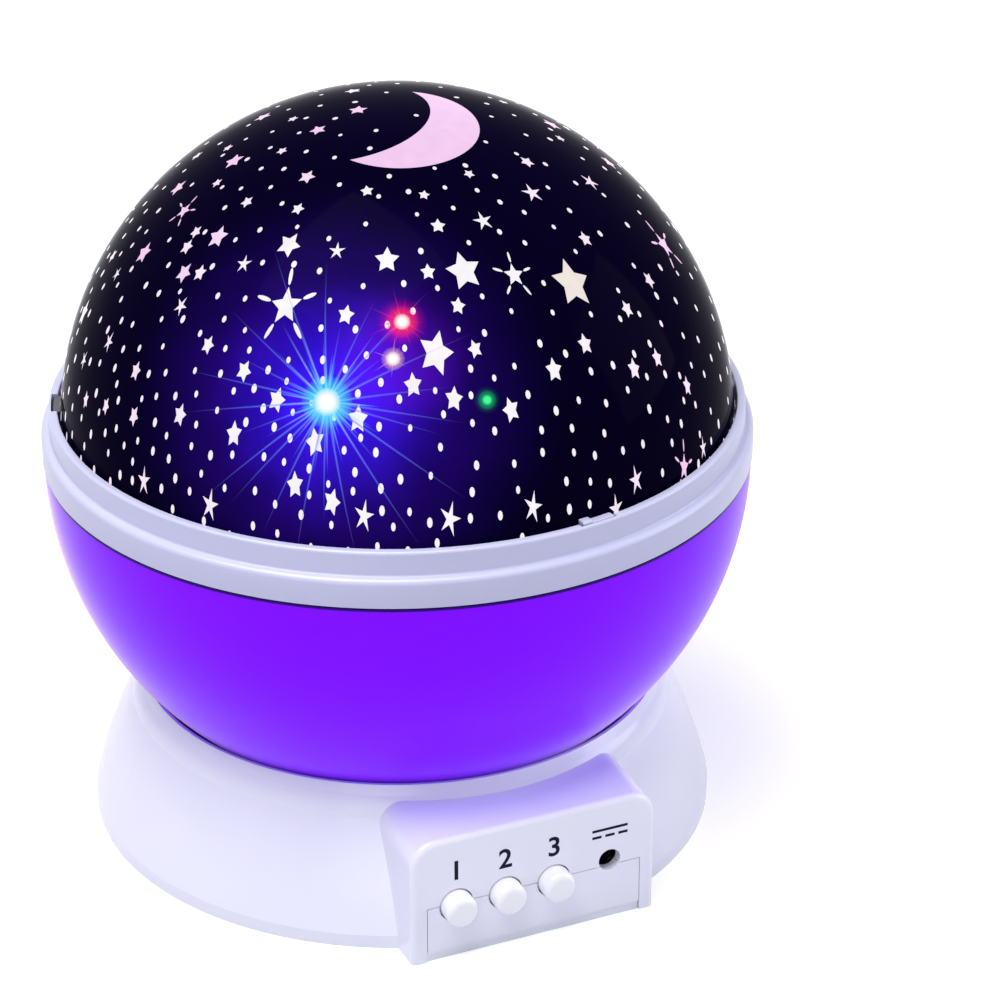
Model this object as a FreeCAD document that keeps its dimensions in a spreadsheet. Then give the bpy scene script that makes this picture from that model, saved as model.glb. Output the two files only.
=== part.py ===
import FreeCAD, Part
import math
import os
import re
import Sketcher
from FreeCAD import Placement, Rotation, Vector

# Star night light projector: a fixed round base with a control panel, a bowl and ring that
# turn on a hollow lamp post, and a printed dome that lifts off. Millimetres, +Z up, the
# origin on the turning axis at the underside, the control panel facing -Y.

SIZES = {
    # dome
    "dome_radius": (62.9, "outer radius of the dome"),
    "dome_wall": (1.6, "dome wall"),
    "dome_skirt": (1.85, "straight rim of the dome, below its centre"),
    "dome_seat_gap": (0.05, "dome to the deck that it stands on"),
    "dome_gap": (0.35, "dome to ring, all round"),
    "lug_rise": (2.6, "underside of a dome lug above the dome's centre"),
    "lug_thick": (2.8, "height of a dome lug"),
    "lug_reach": (1.25, "a lug beyond the dome radius"),
    "lug_angle": (6.0, "width of a lug round the axis, degrees"),
    "lug_gap": (0.35, "lug to its notch"),
    "lug_direction": (160.0, "direction of the first lug, degrees from +X"),
    # collar ring
    "ring_wall": (1.35, "wall of the ring's lower band"),
    "ring_lip_wall": (1.6, "wall of the ring's lip"),
    "ring_gap": (0.3, "shadow gap under the ring"),
    "ring_band": (5.5, "height of the lower band"),
    "ring_tall": (10.2, "whole height of the ring"),
    "ring_ledge_round": (1.1, "rounding of the ledge"),
    "ring_lip_round": (0.6, "rounding of the lip"),
    # bowl
    "bowl_shoulder": (1.2, "width of the bowl's rim outside the spigot"),
    "bowl_wall": (2.2, "bowl wall"),
    "bowl_depth": (52.2, "bowl, from its floor to its rim"),
    "bowl_floor": (2.0, "thickness of the bowl's floor"),
    "spigot_step": (0.35, "spigot's bore beyond the ring's"),
    "spigot_gap": (0.1, "spigot to ring"),
    "spigot_wall": (1.4, "wall of the spigot"),
    "spigot_rise": (4.0, "spigot above the bowl's rim"),
    "deck_seat_rise": (1.1, "ledge for the deck above the bowl's rim"),
    "deck_seat_width": (1.9, "width of that ledge"),
    "gear_boss_radius": (3.2, "bosses for the gear screws"),
    "gear_boss_height": (5.0, "height of those bosses"),
    # reflector deck
    "deck_thick": (1.5, "reflector deck"),
    "deck_rim": (1.8, "rim of the deck"),
    "deck_gap": (0.3, "deck to the spigot"),
    "deck_dip": (3.4, "how far the deck dips below its rim"),
    "deck_hole_gap": (1.1, "deck to lamp holder"),
    # base housing
    "base_flare": (7.7, "base at the table beyond its shoulder"),
    "base_edge": (2.6, "height of the base's upright edge"),
    "base_wall": (2.0, "wall of the base housing"),
    "shoulder_width": (3.12, "shoulder beyond the opening"),
    "shoulder_drop": (5.6, "shoulder below the lip"),
    "flank_arc": (95.0, "radius of the flank's bulge"),
    "lip_rise": (6.8, "lip of the opening above the bowl's floor"),
    "lip_width": (1.5, "width of the lip at the opening"),
    "spin_gap": (0.6, "bowl to base opening"),
    "bay_room": (0.85, "battery bay to post flange, for the ribbon"),
    "well_floor_thick": (1.8, "thickness of the well's floor"),
    "well_wall": (1.8, "wall round the well"),
    # control panel
    "panel_proud": (1.4, "front face beyond the base"),
    "panel_half_width": (24.4, "half width of the panel block"),
    "panel_step": (2.1, "top of the front face above the shoulder"),
    "panel_rise": (1.2, "rise of the panel's top towards the bowl"),
    "panel_corner": (5.0, "rounding of the panel's top corners"),
    "panel_edge_round": (1.1, "rounding of the panel's front edges"),
    "button_pitch": (9.75, "between the buttons"),
    "button_middle": (-5.85, "place of the middle button across the panel"),
    "button_height": (11.0, "height of the buttons' axes"),
    "button_radius": (3.1, "radius of a button cap"),
    "button_gap": (0.25, "cap to its hole"),
    "button_proud": (3.5, "cap in front of the panel"),
    "button_flange": (4.1, "radius of the flange behind the panel"),
    "button_flange_thick": (1.0, "thickness of that flange"),
    "button_travel": (1.0, "how far a button goes in"),
    "plunger_radius": (1.7, "plunger of a push switch"),
    "plunger_gap": (0.2, "plunger to its switch"),
    "switch_width": (6.6, "push switch"),
    "switch_depth": (3.6, "push switch, front to back"),
    "switch_height": (7.8, "push switch above the board"),
    # power inlet
    "jack_across": (15.2, "place of the inlet across the panel"),
    "jack_height": (12.5, "height of the inlet's axis"),
    "jack_hole_radius": (2.2, "hole in the panel"),
    "jack_mouth_radius": (2.0, "mouth of the inlet"),
    "jack_mouth_depth": (1.2, "depth of that mouth"),
    "jack_bore_radius": (1.8, "barrel for a 3.5 mm plug"),
    "jack_bore_depth": (8.0, "depth of the barrel behind the mouth"),
    "jack_pin_radius": (0.65, "centre pin, 1.3 mm"),
    "jack_pin_length": (7.2, "free length of the pin"),
    "jack_width": (9.2, "inlet body"),
    "jack_length": (13.0, "inlet body, front to back"),
    "jack_shoulder": (2.5, "body above the axis"),
    # base plate and battery bay
    "plate_thick": (2.0, "base plate"),
    "plate_gap": (0.3, "base plate to housing"),
    "tongue_inset": (3.1, "tongue's side to the panel's"),
    "tongue_rise": (0.3, "top of the tongue above the buttons' axes"),
    "tongue_thick": (1.8, "tongue"),
    "tongue_step": (2.0, "height of the step along the tongue's foot"),
    "tongue_step_depth": (0.4, "depth of that step"),
    "tongue_gap": (0.15, "tongue to housing"),
    "cell_radius": (5.2, "cell, 10.4 mm across"),
    "cell_lift": (0.3, "cells above the door"),
    "cell_length": (44.5, "cell with its nub"),
    "cell_nub_radius": (1.9, "nub"),
    "cell_nub": (1.1, "height of the nub"),
    "cell_pitch": (10.8, "between cells"),
    "bay_end_gap": (3.1, "room for a contact at each end of a cell"),
    "bay_side_gap": (0.2, "cells to the bay's sides"),
    "bay_middle": (-2.4, "centre of the bay along Y"),
    "bay_wall": (1.4, "walls of the bay"),
    "bay_ceiling_gap": (0.25, "cells to the bay's ceiling"),
    "bay_ceiling": (1.0, "ceiling of the bay"),
    "door_thick": (1.6, "battery door"),
    "door_gap": (0.25, "door to its opening"),
    "door_ledge": (0.5, "plate's ledge round the bay"),
    "door_ear_radius": (4.4, "ear of the door round its screw"),
    "door_boss_height": (9.0, "top of the boss for the door screw"),
    "door_tab_across": (14.5, "middle of a door tab from the middle"),
    "door_tab_width": (5.0, "door tab"),
    "door_tab_thick": (0.8, "height of a tab's hook above the plate"),
    "door_screw_offset": (3.4, "door screw beyond the bay's wall"),
    "contact_thick": (0.4, "contact strip"),
    # screws
    "screw_radius": (1.2, "shank of the housing screws"),
    "screw_head_radius": (2.3, "head of the housing screws"),
    "screw_head": (1.6, "height of those heads"),
    "screw_length": (9.0, "shank below the head"),
    "rear_screw_across": (40.0, "rear housing screws"),
    "rear_screw_along": (20.0, "rear housing screws"),
    "front_screw_across": (34.0, "front housing screws"),
    "front_screw_along": (-30.0, "front housing screws"),
    "gear_screw_length": (6.5, "shank of the gear screws"),
    "gear_screw_turn": (30.0, "direction of the first gear screw, degrees"),
    "post_screw_length": (1.7, "shank of the post screws"),
    "door_screw_length": (5.0, "shank of the door screw"),
    "board_screw_length": (3.0, "shank of the lamp board screws"),
    "board_screw_turn": (10.0, "direction of the first of those, degrees"),
    "control_screw_length": (4.6, "shank of the control board screws"),
    "gearbox_screw_bite": (1.2, "gearbox screws in the well's floor"),
    "gearbox_screw_along": (7.0, "gearbox screws from the output shaft"),
    "gearbox_screw_apart": (11.0, "between the gearbox screws"),
    "screw_boss_radius": (3.4, "boss round a housing screw"),
    "post_head": (1.0, "height of the post screws' heads"),
    "screw_boss_foot": (4.0, "height of the seam between the bosses"),
    "small_screw_radius": (1.0, "shank of the small screws"),
    "small_head_radius": (1.9, "head of the small screws"),
    "small_head": (1.1, "height of those heads"),
    "screw_clearance": (0.3, "screw to the hole that it passes through"),
    "pilot_clearance": (0.05, "screw to the hole that holds it"),
    "slot_width": (0.7, "arm of the cross recess in a head"),
    "slot_depth": (0.8, "depth of the cross recess"),
    # lamp post
    "post_radius": (10.2, "journal of the lamp post"),
    "post_bore": (6.5, "bore of the lamp post"),
    "post_neck_radius": (8.0, "post above the journal"),
    "post_flange_radius": (21.5, "flange under the well's floor"),
    "post_flange_thick": (1.0, "that flange"),
    "post_drop": (2.0, "top of the post below the bowl's rim"),
    "post_screw_circle": (18.5, "flange screws from the axis"),
    "running_gap": (0.1, "gear to journal"),
    "axial_gap": (0.3, "retaining ring to hub"),
    "washer_thick": (0.8, "thrust washer"),
    "washer_width": (5.2, "thrust washer across its wall"),
    "retainer_depth": (1.2, "groove of the retaining ring"),
    "retainer_thick": (0.7, "retaining ring"),
    "retainer_reach": (2.4, "retaining ring beyond the journal"),
    # gears and motor
    "gear_module": (1.0, "module of both gears"),
    "gear_teeth": (48, "teeth of the bowl's gear"),
    "pinion_teeth": (12, "teeth of the pinion"),
    "gear_face": (3.0, "face width"),
    "gear_height": (3.8, "gear between washer and bowl"),
    "gear_backlash": (0.2, "backlash at the pitch circle"),
    "hub_radius": (13.0, "hub through the bowl's floor"),
    "hub_rise": (4.0, "hub above the gear"),
    "gear_screw_circle": (17.2, "gear screws from the axis"),
    "shaft_radius": (1.5, "output shaft"),
    "gearbox_radius": (8.0, "rounded ends of the gearbox"),
    "gearbox_length": (18.0, "between the gearbox's two axes"),
    "gearbox_thick": (4.4, "gearbox"),
    "gearbox_turn": (19.4, "gearbox turned about its shaft, degrees"),
    "motor_radius": (7.6, "motor can"),
    "motor_height": (7.8, "motor can"),
    "motor_flat": (6.0, "flats of the can from its axis"),
    # lamp board
    "holder_radius": (27.3, "lamp holder"),
    "holder_rim": (1.0, "rim of the holder"),
    "holder_rise": (7.0, "lamp board above the top of the post"),
    "holder_disc": (2.0, "thickness of the holder's disc at its edge"),
    "holder_socket_wall": (2.2, "socket over the post"),
    "holder_socket_depth": (10.0, "depth of that socket"),
    "board_thick": (1.6, "circuit boards"),
    "board_gap": (0.2, "lamp board to the holder's rim"),
    "board_screw_circle": (23.0, "lamp board screws from the axis"),
    "led_radius": (2.5, "5 mm LED"),
    "led_flange": (2.9, "flange of an LED"),
    "led_height": (8.6, "LED from flange to tip"),
    "led_standoff": (1.1, "LED above its board"),
    "led_lead": (0.5, "lead of an LED"),
    "led_lead_pitch": (2.54, "between an LED's leads"),
    "blue_led_across": (-16.0, "blue LED"),
    "blue_led_along": (-5.0, "blue LED"),
    "red_led_across": (9.7, "red LED"),
    "red_led_along": (20.3, "red LED"),
    "green_led_across": (10.6, "green LED"),
    "green_led_along": (-17.0, "green LED"),
    "white_led_across": (0.4, "warm white LED"),
    "white_led_along": (7.8, "warm white LED"),
    # control board
    "board_drop": (4.4, "top of the control board below the buttons' axes"),
    "board_inset": (3.8, "control board's side to the panel's"),
    "board_back": (4.0, "control board behind the front face"),
    "control_board_depth": (26.0, "control board, front to back"),
    "control_screw_across": (17.0, "control board screws"),
    "control_screw_back": (26.5, "control board screws behind the front face"),
    "ribbon_thick": (0.5, "ribbon cable to the lamp board"),
    "ribbon_width": (5.0, "ribbon cable"),
}

doc = FreeCAD.newDocument("star_night_light")
sheet = doc.addObject("Spreadsheet::Sheet", "Sizes")
for row, (alias, (number, note)) in enumerate(SIZES.items(), start=1):
    sheet.set("A%d" % row, alias)
    sheet.set("B%d" % row, str(number))
    sheet.set("C%d" % row, note)
    sheet.setAlias("B%d" % row, alias)
doc.recompute()

# Sizes that follow from the sheet: each is an expression over its aliases or over another
# of these, so that what touches moves together.
FOLLOWS = {
    # radii, from the dome outwards
    "ring_bore": "dome_radius + dome_gap",
    "spigot_bore": "ring_bore + spigot_step",
    "spigot_radius": "spigot_bore + spigot_wall",
    "ring_radius": "spigot_radius + spigot_gap + ring_wall",
    "ring_lip_radius": "ring_bore + ring_lip_wall",
    "bowl_radius": "spigot_radius + bowl_shoulder",
    "well_radius": "sqrt(bowl_radius^2 - (bowl_rim_height - lip_height)^2) + spin_gap",
    "shoulder_radius": "well_radius + shoulder_width",
    "base_radius": "shoulder_radius + base_flare",
    "panel_front": "base_radius + panel_proud",
    "tongue_half_width": "panel_half_width - tongue_inset",
    "control_board_half_width": "panel_half_width - board_inset",
    "control_board_front": "panel_front - board_back",
    "control_screw_along": "control_screw_back - panel_front",
    # heights, from the battery bay upwards
    "cell_axis": "door_thick + cell_lift + cell_radius",
    "bay_inner_top": "cell_axis + cell_radius + bay_ceiling_gap",
    "bay_top": "bay_inner_top + bay_ceiling",
    "well_under": "bay_top + bay_room + post_flange_thick",
    "well_floor": "well_under + well_floor_thick",
    "gear_low": "well_floor + washer_thick",
    "bowl_low": "gear_low + gear_height",
    "lip_height": "bowl_low + lip_rise",
    "shoulder_height": "lip_height - shoulder_drop",
    "panel_height": "shoulder_height + panel_step",
    "bowl_rim_height": "bowl_low + bowl_depth",
    "ring_low": "bowl_rim_height + ring_gap",
    "ring_ledge": "ring_low + ring_band",
    "ring_high": "ring_low + ring_tall",
    "spigot_height": "bowl_rim_height + spigot_rise",
    "deck_seat_height": "bowl_rim_height + deck_seat_rise",
    "deck_top": "deck_seat_height + deck_rim",
    "dome_rim_height": "deck_top + dome_seat_gap",
    "dome_centre_height": "dome_rim_height + dome_skirt",
    "lug_low": "dome_centre_height + lug_rise",
    "lug_high": "lug_low + lug_thick",
    "post_top": "bowl_rim_height - post_drop",
    "holder_seat": "post_top + holder_rise",
    "tongue_height": "button_height + tongue_rise",
    "control_board_top": "button_height - board_drop",
}
GEAR_LOW = "gear_low"
TEETH_LOW = "(%s + gear_height - gear_face - 0.4)" % GEAR_LOW
BOWL_LOW = "bowl_low"
BOWL_LOW_RADIUS = "sqrt(bowl_radius^2 - (bowl_rim_height - %s)^2)" % BOWL_LOW
BOWL_INNER = "(bowl_radius - bowl_wall)"
BOWL_FLOOR_TOP = "(%s + bowl_floor)" % BOWL_LOW
BOWL_FLOOR_RADIUS = "sqrt(%s^2 - (bowl_rim_height - %s)^2)" % (BOWL_INNER, BOWL_FLOOR_TOP)
WELL_RADIUS = "well_radius"
WELL_UNDER = "well_under"
RING_BORE = "ring_bore"
SPIGOT_BORE = "spigot_bore"
DECK_RADIUS = "(spigot_bore - deck_gap)"
DECK_TOP = "deck_top"
DECK_HOLE = "(holder_radius + deck_hole_gap)"
PANEL_INNER = "(panel_front - base_wall)"
CELL_AXIS = "cell_axis"
BAY_HALF_LENGTH = "(cell_length / 2 + bay_end_gap)"
BAY_HALF_WIDTH = "(1.5 * cell_pitch + cell_radius + bay_side_gap)"
BAY_INNER_TOP = "bay_inner_top"
BAY_TOP = "bay_top"
DOOR_SCREW_Y = "(bay_middle + %s + bay_wall + door_screw_offset)" % BAY_HALF_WIDTH
GEAR_DISTANCE = "(gear_module * (gear_teeth + pinion_teeth) / 2)"
GEARBOX_LOW = "(%s - gearbox_thick)" % WELL_UNDER
HUB_TOP = "(%s + hub_rise)" % BOWL_LOW
RETAINER_LOW = "(%s + axial_gap)" % HUB_TOP
POST_FLANGE_LOW = "(%s - post_flange_thick)" % WELL_UNDER
LAMP_BOARD_TOP = "(holder_seat + board_thick)"
SWITCH_FRONT = "(control_board_front - 1.8)"
JACK_FRONT = "(%s - 0.4)" % PANEL_INNER
SCREW_SPOTS = [("rear_screw_across", "rear_screw_along"), ("-rear_screw_across", "rear_screw_along"),
               ("front_screw_across", "front_screw_along"),
               ("-front_screw_across", "front_screw_along")]
LEDS = ["blue", "red", "green", "white"]


def bound(text):
    """An expression with every alias written as a cell of the sheet."""
    def written(word):
        """One word of the expression: an alias, a size that follows, or a function."""
        name = word.group()
        if name in FOLLOWS:
            return "(" + bound(FOLLOWS[name]) + ")"
        return "Sizes." + name if name in SIZES else name
    return re.sub(r"[A-Za-z_]+", written, str(text))


def value(text):
    """What an expression over the sheet gives now."""
    return float(sheet.evalExpression(bound(text)))


def new_body(label):
    """An empty body for one sub-part."""
    body = doc.addObject("PartDesign::Body", label)
    body.Label = label
    return body


def new_sketch(body, plane, shift="0", turn=0):
    """A sketch on one of the body's own planes, moved along its normal and turned."""
    sketch = body.newObject("Sketcher::SketchObject", "Profile")
    own = [item for item in body.Origin.OriginFeatures if item.Role == plane][0]
    sketch.AttachmentSupport = [(own, "")]
    sketch.MapMode = "FlatFace"
    axis = Vector(0, 1, 0) if plane == "XZ_Plane" else Vector(0, 0, 1)
    sketch.AttachmentOffset = Placement(Vector(0, 0, 0), Rotation(axis, turn))
    sketch.setExpression(".AttachmentOffset.Base.z", bound(shift))
    return sketch


def hold(sketch, kind, *places, size):
    """A dimension of the sketch that follows the sheet."""
    index = sketch.addConstraint(Sketcher.Constraint(kind, *places, value(size)))
    sketch.setExpression("Constraints[%d]" % index, bound(size))


def outline(body, plane, corners, arcs=None, shift="0", turn=0, sketch=None):
    """A closed outline through the corners. arcs gives, by the corner at which each begins,
    the radius of a round stretch and the side of its centre: 1 for left, -1 for right."""
    arcs = arcs or {}
    sketch = sketch or new_sketch(body, plane, shift, turn)
    points = [Vector(value(across), value(up), 0) for across, up in corners]
    first = sketch.GeometryCount
    starts = []
    ends = []
    for number, point in enumerate(points):
        target = points[(number + 1) % len(points)]
        if number in arcs:
            radius, side = value(arcs[number][0]), arcs[number][1]
            chord = target - point
            normal = Vector(-chord.y, chord.x, 0).normalize()
            rise = math.sqrt(max(radius ** 2 - (chord.Length / 2) ** 2, 0))
            centre = (point + target) * 0.5 + normal * rise * side
            head, tail = (point, target) if side > 0 else (target, point)
            angles = [math.atan2(end.y - centre.y, end.x - centre.x) for end in (head, tail)]
            circle = Part.Circle(centre, Vector(0, 0, 1), radius)
            sketch.addGeometry(Part.ArcOfCircle(circle, *angles), False)
            starts.append(1 if side > 0 else 2)
            ends.append(2 if side > 0 else 1)
        else:
            sketch.addGeometry(Part.LineSegment(point, target), False)
            starts.append(1)
            ends.append(2)
    for number in range(len(points)):
        after = (number + 1) % len(points)
        sketch.addConstraint(Sketcher.Constraint("Coincident", first + number, ends[number],
                                                 first + after, starts[after]))
    for number, (across, up) in enumerate(corners):
        hold(sketch, "DistanceX", -1, 1, first + number, starts[number], size=across)
        hold(sketch, "DistanceY", -1, 1, first + number, starts[number], size=up)
    for number, (radius, side) in arcs.items():
        hold(sketch, "Radius", first + number, size=radius)
    return sketch


def circles(body, plane, rounds, shift="0", sketch=None):
    """A sketch of full circles, each an across, an up and a radius."""
    sketch = sketch or new_sketch(body, plane, shift)
    for across, up, radius in rounds:
        centre = Vector(value(across), value(up), 0)
        number = sketch.addGeometry(Part.Circle(centre, Vector(0, 0, 1), value(radius)), False)
        hold(sketch, "DistanceX", -1, 1, number, 3, size=across)
        hold(sketch, "DistanceY", -1, 1, number, 3, size=up)
        hold(sketch, "Radius", number, size=radius)
    return sketch


def rectangle(body, plane, low, high, shift="0", sketch=None):
    """A rectangle between two corners."""
    corners = [low, (high[0], low[1]), high, (low[0], high[1])]
    return outline(body, plane, corners, shift=shift, sketch=sketch)


def revolve(body, sketch, angle=360, cut=False):
    """Turn a profile about its upright axis. A part turn lies evenly about the sketch."""
    feature = body.newObject("PartDesign::Groove" if cut else "PartDesign::Revolution", "Turn")
    feature.Profile = sketch
    feature.ReferenceAxis = (sketch, ["V_Axis"])
    feature.Midplane = True
    feature.setExpression("Angle", bound(angle))
    body.Tip = feature
    return feature


def pad(body, sketch, length, cut=False, back=False):
    """Raise or cut a profile along its plane's normal, or against it with back."""
    feature = body.newObject("PartDesign::Pocket" if cut else "PartDesign::Pad", "Block")
    feature.Profile = sketch
    feature.setExpression("Length", bound(length))
    # A pocket cuts against the normal unless it is reversed.
    feature.Reversed = back != cut
    body.Tip = feature
    return feature


def around(body, feature, count, angle=360):
    """Repeat a feature evenly round the body's upright axis."""
    pattern = body.newObject("PartDesign::PolarPattern", "Around")
    pattern.Originals = [feature]
    pattern.Axis = ([item for item in body.Origin.OriginFeatures if item.Role == "Z_Axis"][0], [""])
    pattern.Angle = angle
    pattern.Occurrences = count
    body.Tip = pattern
    return pattern


def drill(body, spots, radius, low, high):
    """Upright holes between two heights."""
    rounds = [(across, along, radius) for across, along in spots]
    sketch = circles(body, "XY_Plane", rounds, shift=low)
    return pad(body, sketch, "(%s) - (%s)" % (high, low), cut=True)


def stand(body, spots, radius, low, high):
    """Upright bosses between two heights."""
    rounds = [(across, along, radius) for across, along in spots]
    sketch = circles(body, "XY_Plane", rounds, shift=low)
    return pad(body, sketch, "(%s) - (%s)" % (high, low))


def place(item, across=0, along=0, up=0, axis=Vector(0, 0, 1), angle=0):
    """Put a sub-part at a place that follows the sheet."""
    item.Placement = Placement(Vector(0, 0, 0), Rotation(axis, value(angle)))
    for letter, text in (("x", across), ("y", along), ("z", up)):
        item.setExpression(".Placement.Base." + letter, bound(text))
    return item


def group(label, shapes):
    """Separate like solids that share one node."""
    item = doc.addObject("Part::Feature", label)
    item.Label = label
    item.Shape = Part.makeCompound(shapes)
    return item


def screw(shank, length, head_radius, head, spot, up=True, flat=False):
    """A screw whose head's inner face lies at the spot: its shank goes up, or down. A flat
    one has its head sunk, a cone that ends at the spot."""
    shank, length, head_radius = value(shank), value(length), value(head_radius)
    head = value(head)
    thread = Part.makeCylinder(shank, length)
    if flat:
        cap = Part.makeCone(head_radius, shank, head_radius - shank)
        thread = Part.makeCylinder(shank, length, Vector(0, 0, head_radius - shank))
        base = 0.0
    else:
        cap = Part.makeCylinder(head_radius, head, Vector(0, 0, -head))
        cap = cap.makeFillet(head * 0.45, [edge for edge in cap.Edges
                                           if abs(edge.CenterOfMass.z + head) < 1e-6
                                           and abs(edge.BoundBox.ZLength) < 1e-6])
        base = -head
    solid = cap.fuse(thread)
    arm, deep = value("slot_width"), value("slot_depth")
    for turn in (0, 90):
        bar = Part.makeBox(2 * 0.62 * head_radius, arm, deep + 0.5,
                           Vector(-0.62 * head_radius, -arm / 2, base - 0.5))
        bar.rotate(Vector(0, 0, 0), Vector(0, 0, 1), turn)
        solid = solid.cut(bar)
    solid = solid.removeSplitter()
    if not up:
        solid.rotate(Vector(0, 0, 0), Vector(1, 0, 0), 180)
    solid.translate(Vector(*[value(part) for part in spot]))
    return solid


def on_circle(radius, start, count):
    """Places evenly round the axis, as expressions."""
    return [("%s * cos(%s)" % (radius, start + 360 * step / count),
             "%s * sin(%s)" % (radius, start + 360 * step / count)) for step in range(count)]


def make_dome():
    """The clear printed dome: a spherical shell, a short straight rim and three lugs."""
    body = new_body("dome")
    inner = "(dome_radius - dome_wall)"
    shell = outline(body, "XZ_Plane", [
        ("0", "dome_centre_height + dome_radius"),
        ("0", "dome_centre_height + " + inner),
        (inner, "dome_centre_height"),
        (inner, "dome_rim_height"),
        ("dome_radius", "dome_rim_height"),
        ("dome_radius", "dome_centre_height")],
        arcs={1: (inner, -1), 5: ("dome_radius", 1)})
    revolve(body, shell)
    lug = rectangle(body, "XZ_Plane", ("dome_radius - 0.7 * dome_wall", "lug_low"),
                    ("dome_radius + lug_reach", "lug_high"))
    lug.AttachmentOffset = Placement(Vector(0, 0, 0),
                                     Rotation(Vector(0, 1, 0), value("lug_direction")))
    around(body, revolve(body, lug, "lug_angle"), 3)


def make_collar_ring():
    """The white ring: a lower band over the bowl's spigot, a rounded ledge and a lip with
    three notches for the dome's lugs."""
    body = new_body("collar_ring")
    profile = outline(body, "XZ_Plane", [
        (RING_BORE, "spigot_height"),
        ("spigot_radius + 0.1", "spigot_height"),
        ("spigot_radius + 0.1", "ring_low"),
        ("ring_radius", "ring_low"),
        ("ring_radius", "ring_ledge - ring_ledge_round"),
        ("ring_radius - ring_ledge_round", "ring_ledge"),
        ("ring_lip_radius", "ring_ledge + 0.1"),
        ("ring_lip_radius", "ring_high - ring_lip_round"),
        ("ring_lip_radius - ring_lip_round", "ring_high"),
        (RING_BORE, "ring_high")],
        arcs={4: ("ring_ledge_round", 1), 7: ("ring_lip_round", 1)})
    revolve(body, profile)
    notch = rectangle(body, "XZ_Plane", (RING_BORE + " - 1", "lug_low - lug_gap"),
                      ("dome_radius + lug_reach + lug_gap - 0.1", "ring_high + 1"))
    notch.AttachmentOffset = Placement(Vector(0, 0, 0),
                                       Rotation(Vector(0, 1, 0), value("lug_direction")))
    around(body, revolve(body, notch, "lug_angle + 0.7", cut=True), 3)


def make_reflector_deck():
    """The white dished deck under the dome: a flat rim, a shallow dip and a collar round
    the lamp holder."""
    body = new_body("reflector_deck")
    outline_points = [
        (DECK_RADIUS, "deck_seat_height"),
        (DECK_RADIUS, DECK_TOP),
        (DECK_RADIUS + " - 2.6", DECK_TOP),
        (DECK_RADIUS + " - 5", DECK_TOP + " - 1.3"),
        (DECK_HOLE + " + 5", DECK_TOP + " - deck_dip"),
        (DECK_HOLE + " + deck_thick", DECK_TOP + " - deck_dip + 0.6"),
        (DECK_HOLE + " + deck_thick", DECK_TOP),
        (DECK_HOLE, DECK_TOP),
        (DECK_HOLE, DECK_TOP + " - deck_dip - deck_thick"),
        (DECK_HOLE + " + 5", DECK_TOP + " - deck_dip - deck_thick"),
        (DECK_RADIUS + " - 4.4", DECK_TOP + " - 1.3 - deck_thick"),
        (DECK_RADIUS + " - 2", "deck_seat_height")]
    revolve(body, outline(body, "XZ_Plane", outline_points))


def make_bowl():
    """The violet bowl: a spherical shell with a flat floor, a spigot inside the ring, a
    ledge for the deck and bosses for the gear's screws."""
    body = new_body("bowl")
    ledge = "(%s - deck_seat_width)" % SPIGOT_BORE
    foot = "(deck_seat_height - 1.6)"
    slope = "(deck_seat_height - 3.8)"
    inner_at_slope = "sqrt(%s^2 - (bowl_rim_height - %s)^2)" % (BOWL_INNER, slope)
    profile = outline(body, "XZ_Plane", [
        ("hub_radius + 0.2", BOWL_LOW),
        (BOWL_LOW_RADIUS, BOWL_LOW),
        ("bowl_radius", "bowl_rim_height"),
        ("spigot_radius", "bowl_rim_height"),
        ("spigot_radius", "spigot_height"),
        (SPIGOT_BORE, "spigot_height"),
        (SPIGOT_BORE, "deck_seat_height"),
        (ledge, "deck_seat_height"),
        (ledge, foot),
        (inner_at_slope, slope),
        (BOWL_FLOOR_RADIUS, BOWL_FLOOR_TOP),
        ("hub_radius + 0.2", BOWL_FLOOR_TOP)],
        arcs={1: ("bowl_radius", 1), 9: (BOWL_INNER, -1)})
    revolve(body, profile)
    spots = on_circle("gear_screw_circle", value("gear_screw_turn"), 3)
    stand(body, spots, "gear_boss_radius", BOWL_FLOOR_TOP + " - 0.5",
          BOWL_FLOOR_TOP + " + gear_boss_height")
    drill(body, spots, "screw_radius + pilot_clearance", BOWL_LOW + " - 1",
          BOWL_FLOOR_TOP + " + gear_boss_height - 1.5")


def tooth_ring(teeth, phase, backlash):
    """The outline of a spur gear: three points of an involute up each flank, arcs along
    the tips and straight roots."""
    module = value("gear_module")
    teeth = int(teeth)
    pitch = module * teeth / 2
    base = pitch * math.cos(math.radians(20))
    tip = pitch + 0.95 * module
    root = pitch - 1.25 * module
    half = math.pi / (2 * teeth) - backlash / (4 * pitch)

    def involute(radius):
        """How far the flank has turned at a radius, past where it is at the base circle."""
        roll = math.sqrt(max((radius / base) ** 2 - 1, 0))
        return roll - math.atan(roll)

    edges = []
    at_pitch = involute(pitch)
    radii = [root, max(base, root + 0.3 * module), pitch, tip]
    for tooth in range(teeth):
        centre = phase + 2 * math.pi * tooth / teeth

        def spot(radius, side, middle=centre):
            """A point of one flank of this tooth."""
            turn = middle + side * (half + at_pitch - involute(radius))
            return Vector(radius * math.cos(turn), radius * math.sin(turn), 0)

        rising = [spot(radius, -1) for radius in radii]
        falling = [spot(radius, 1) for radius in reversed(radii)]
        crown = Vector(tip * math.cos(centre), tip * math.sin(centre), 0)
        for start, end in zip(rising, rising[1:]):
            edges.append(Part.makeLine(start, end))
        edges.append(Part.Arc(rising[-1], crown, falling[0]).toShape())
        for start, end in zip(falling, falling[1:]):
            edges.append(Part.makeLine(start, end))
        edges.append(Part.makeLine(falling[-1], spot(root, -1, centre + 2 * math.pi / teeth)))
    return Part.Face(Part.Wire(edges))


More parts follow.
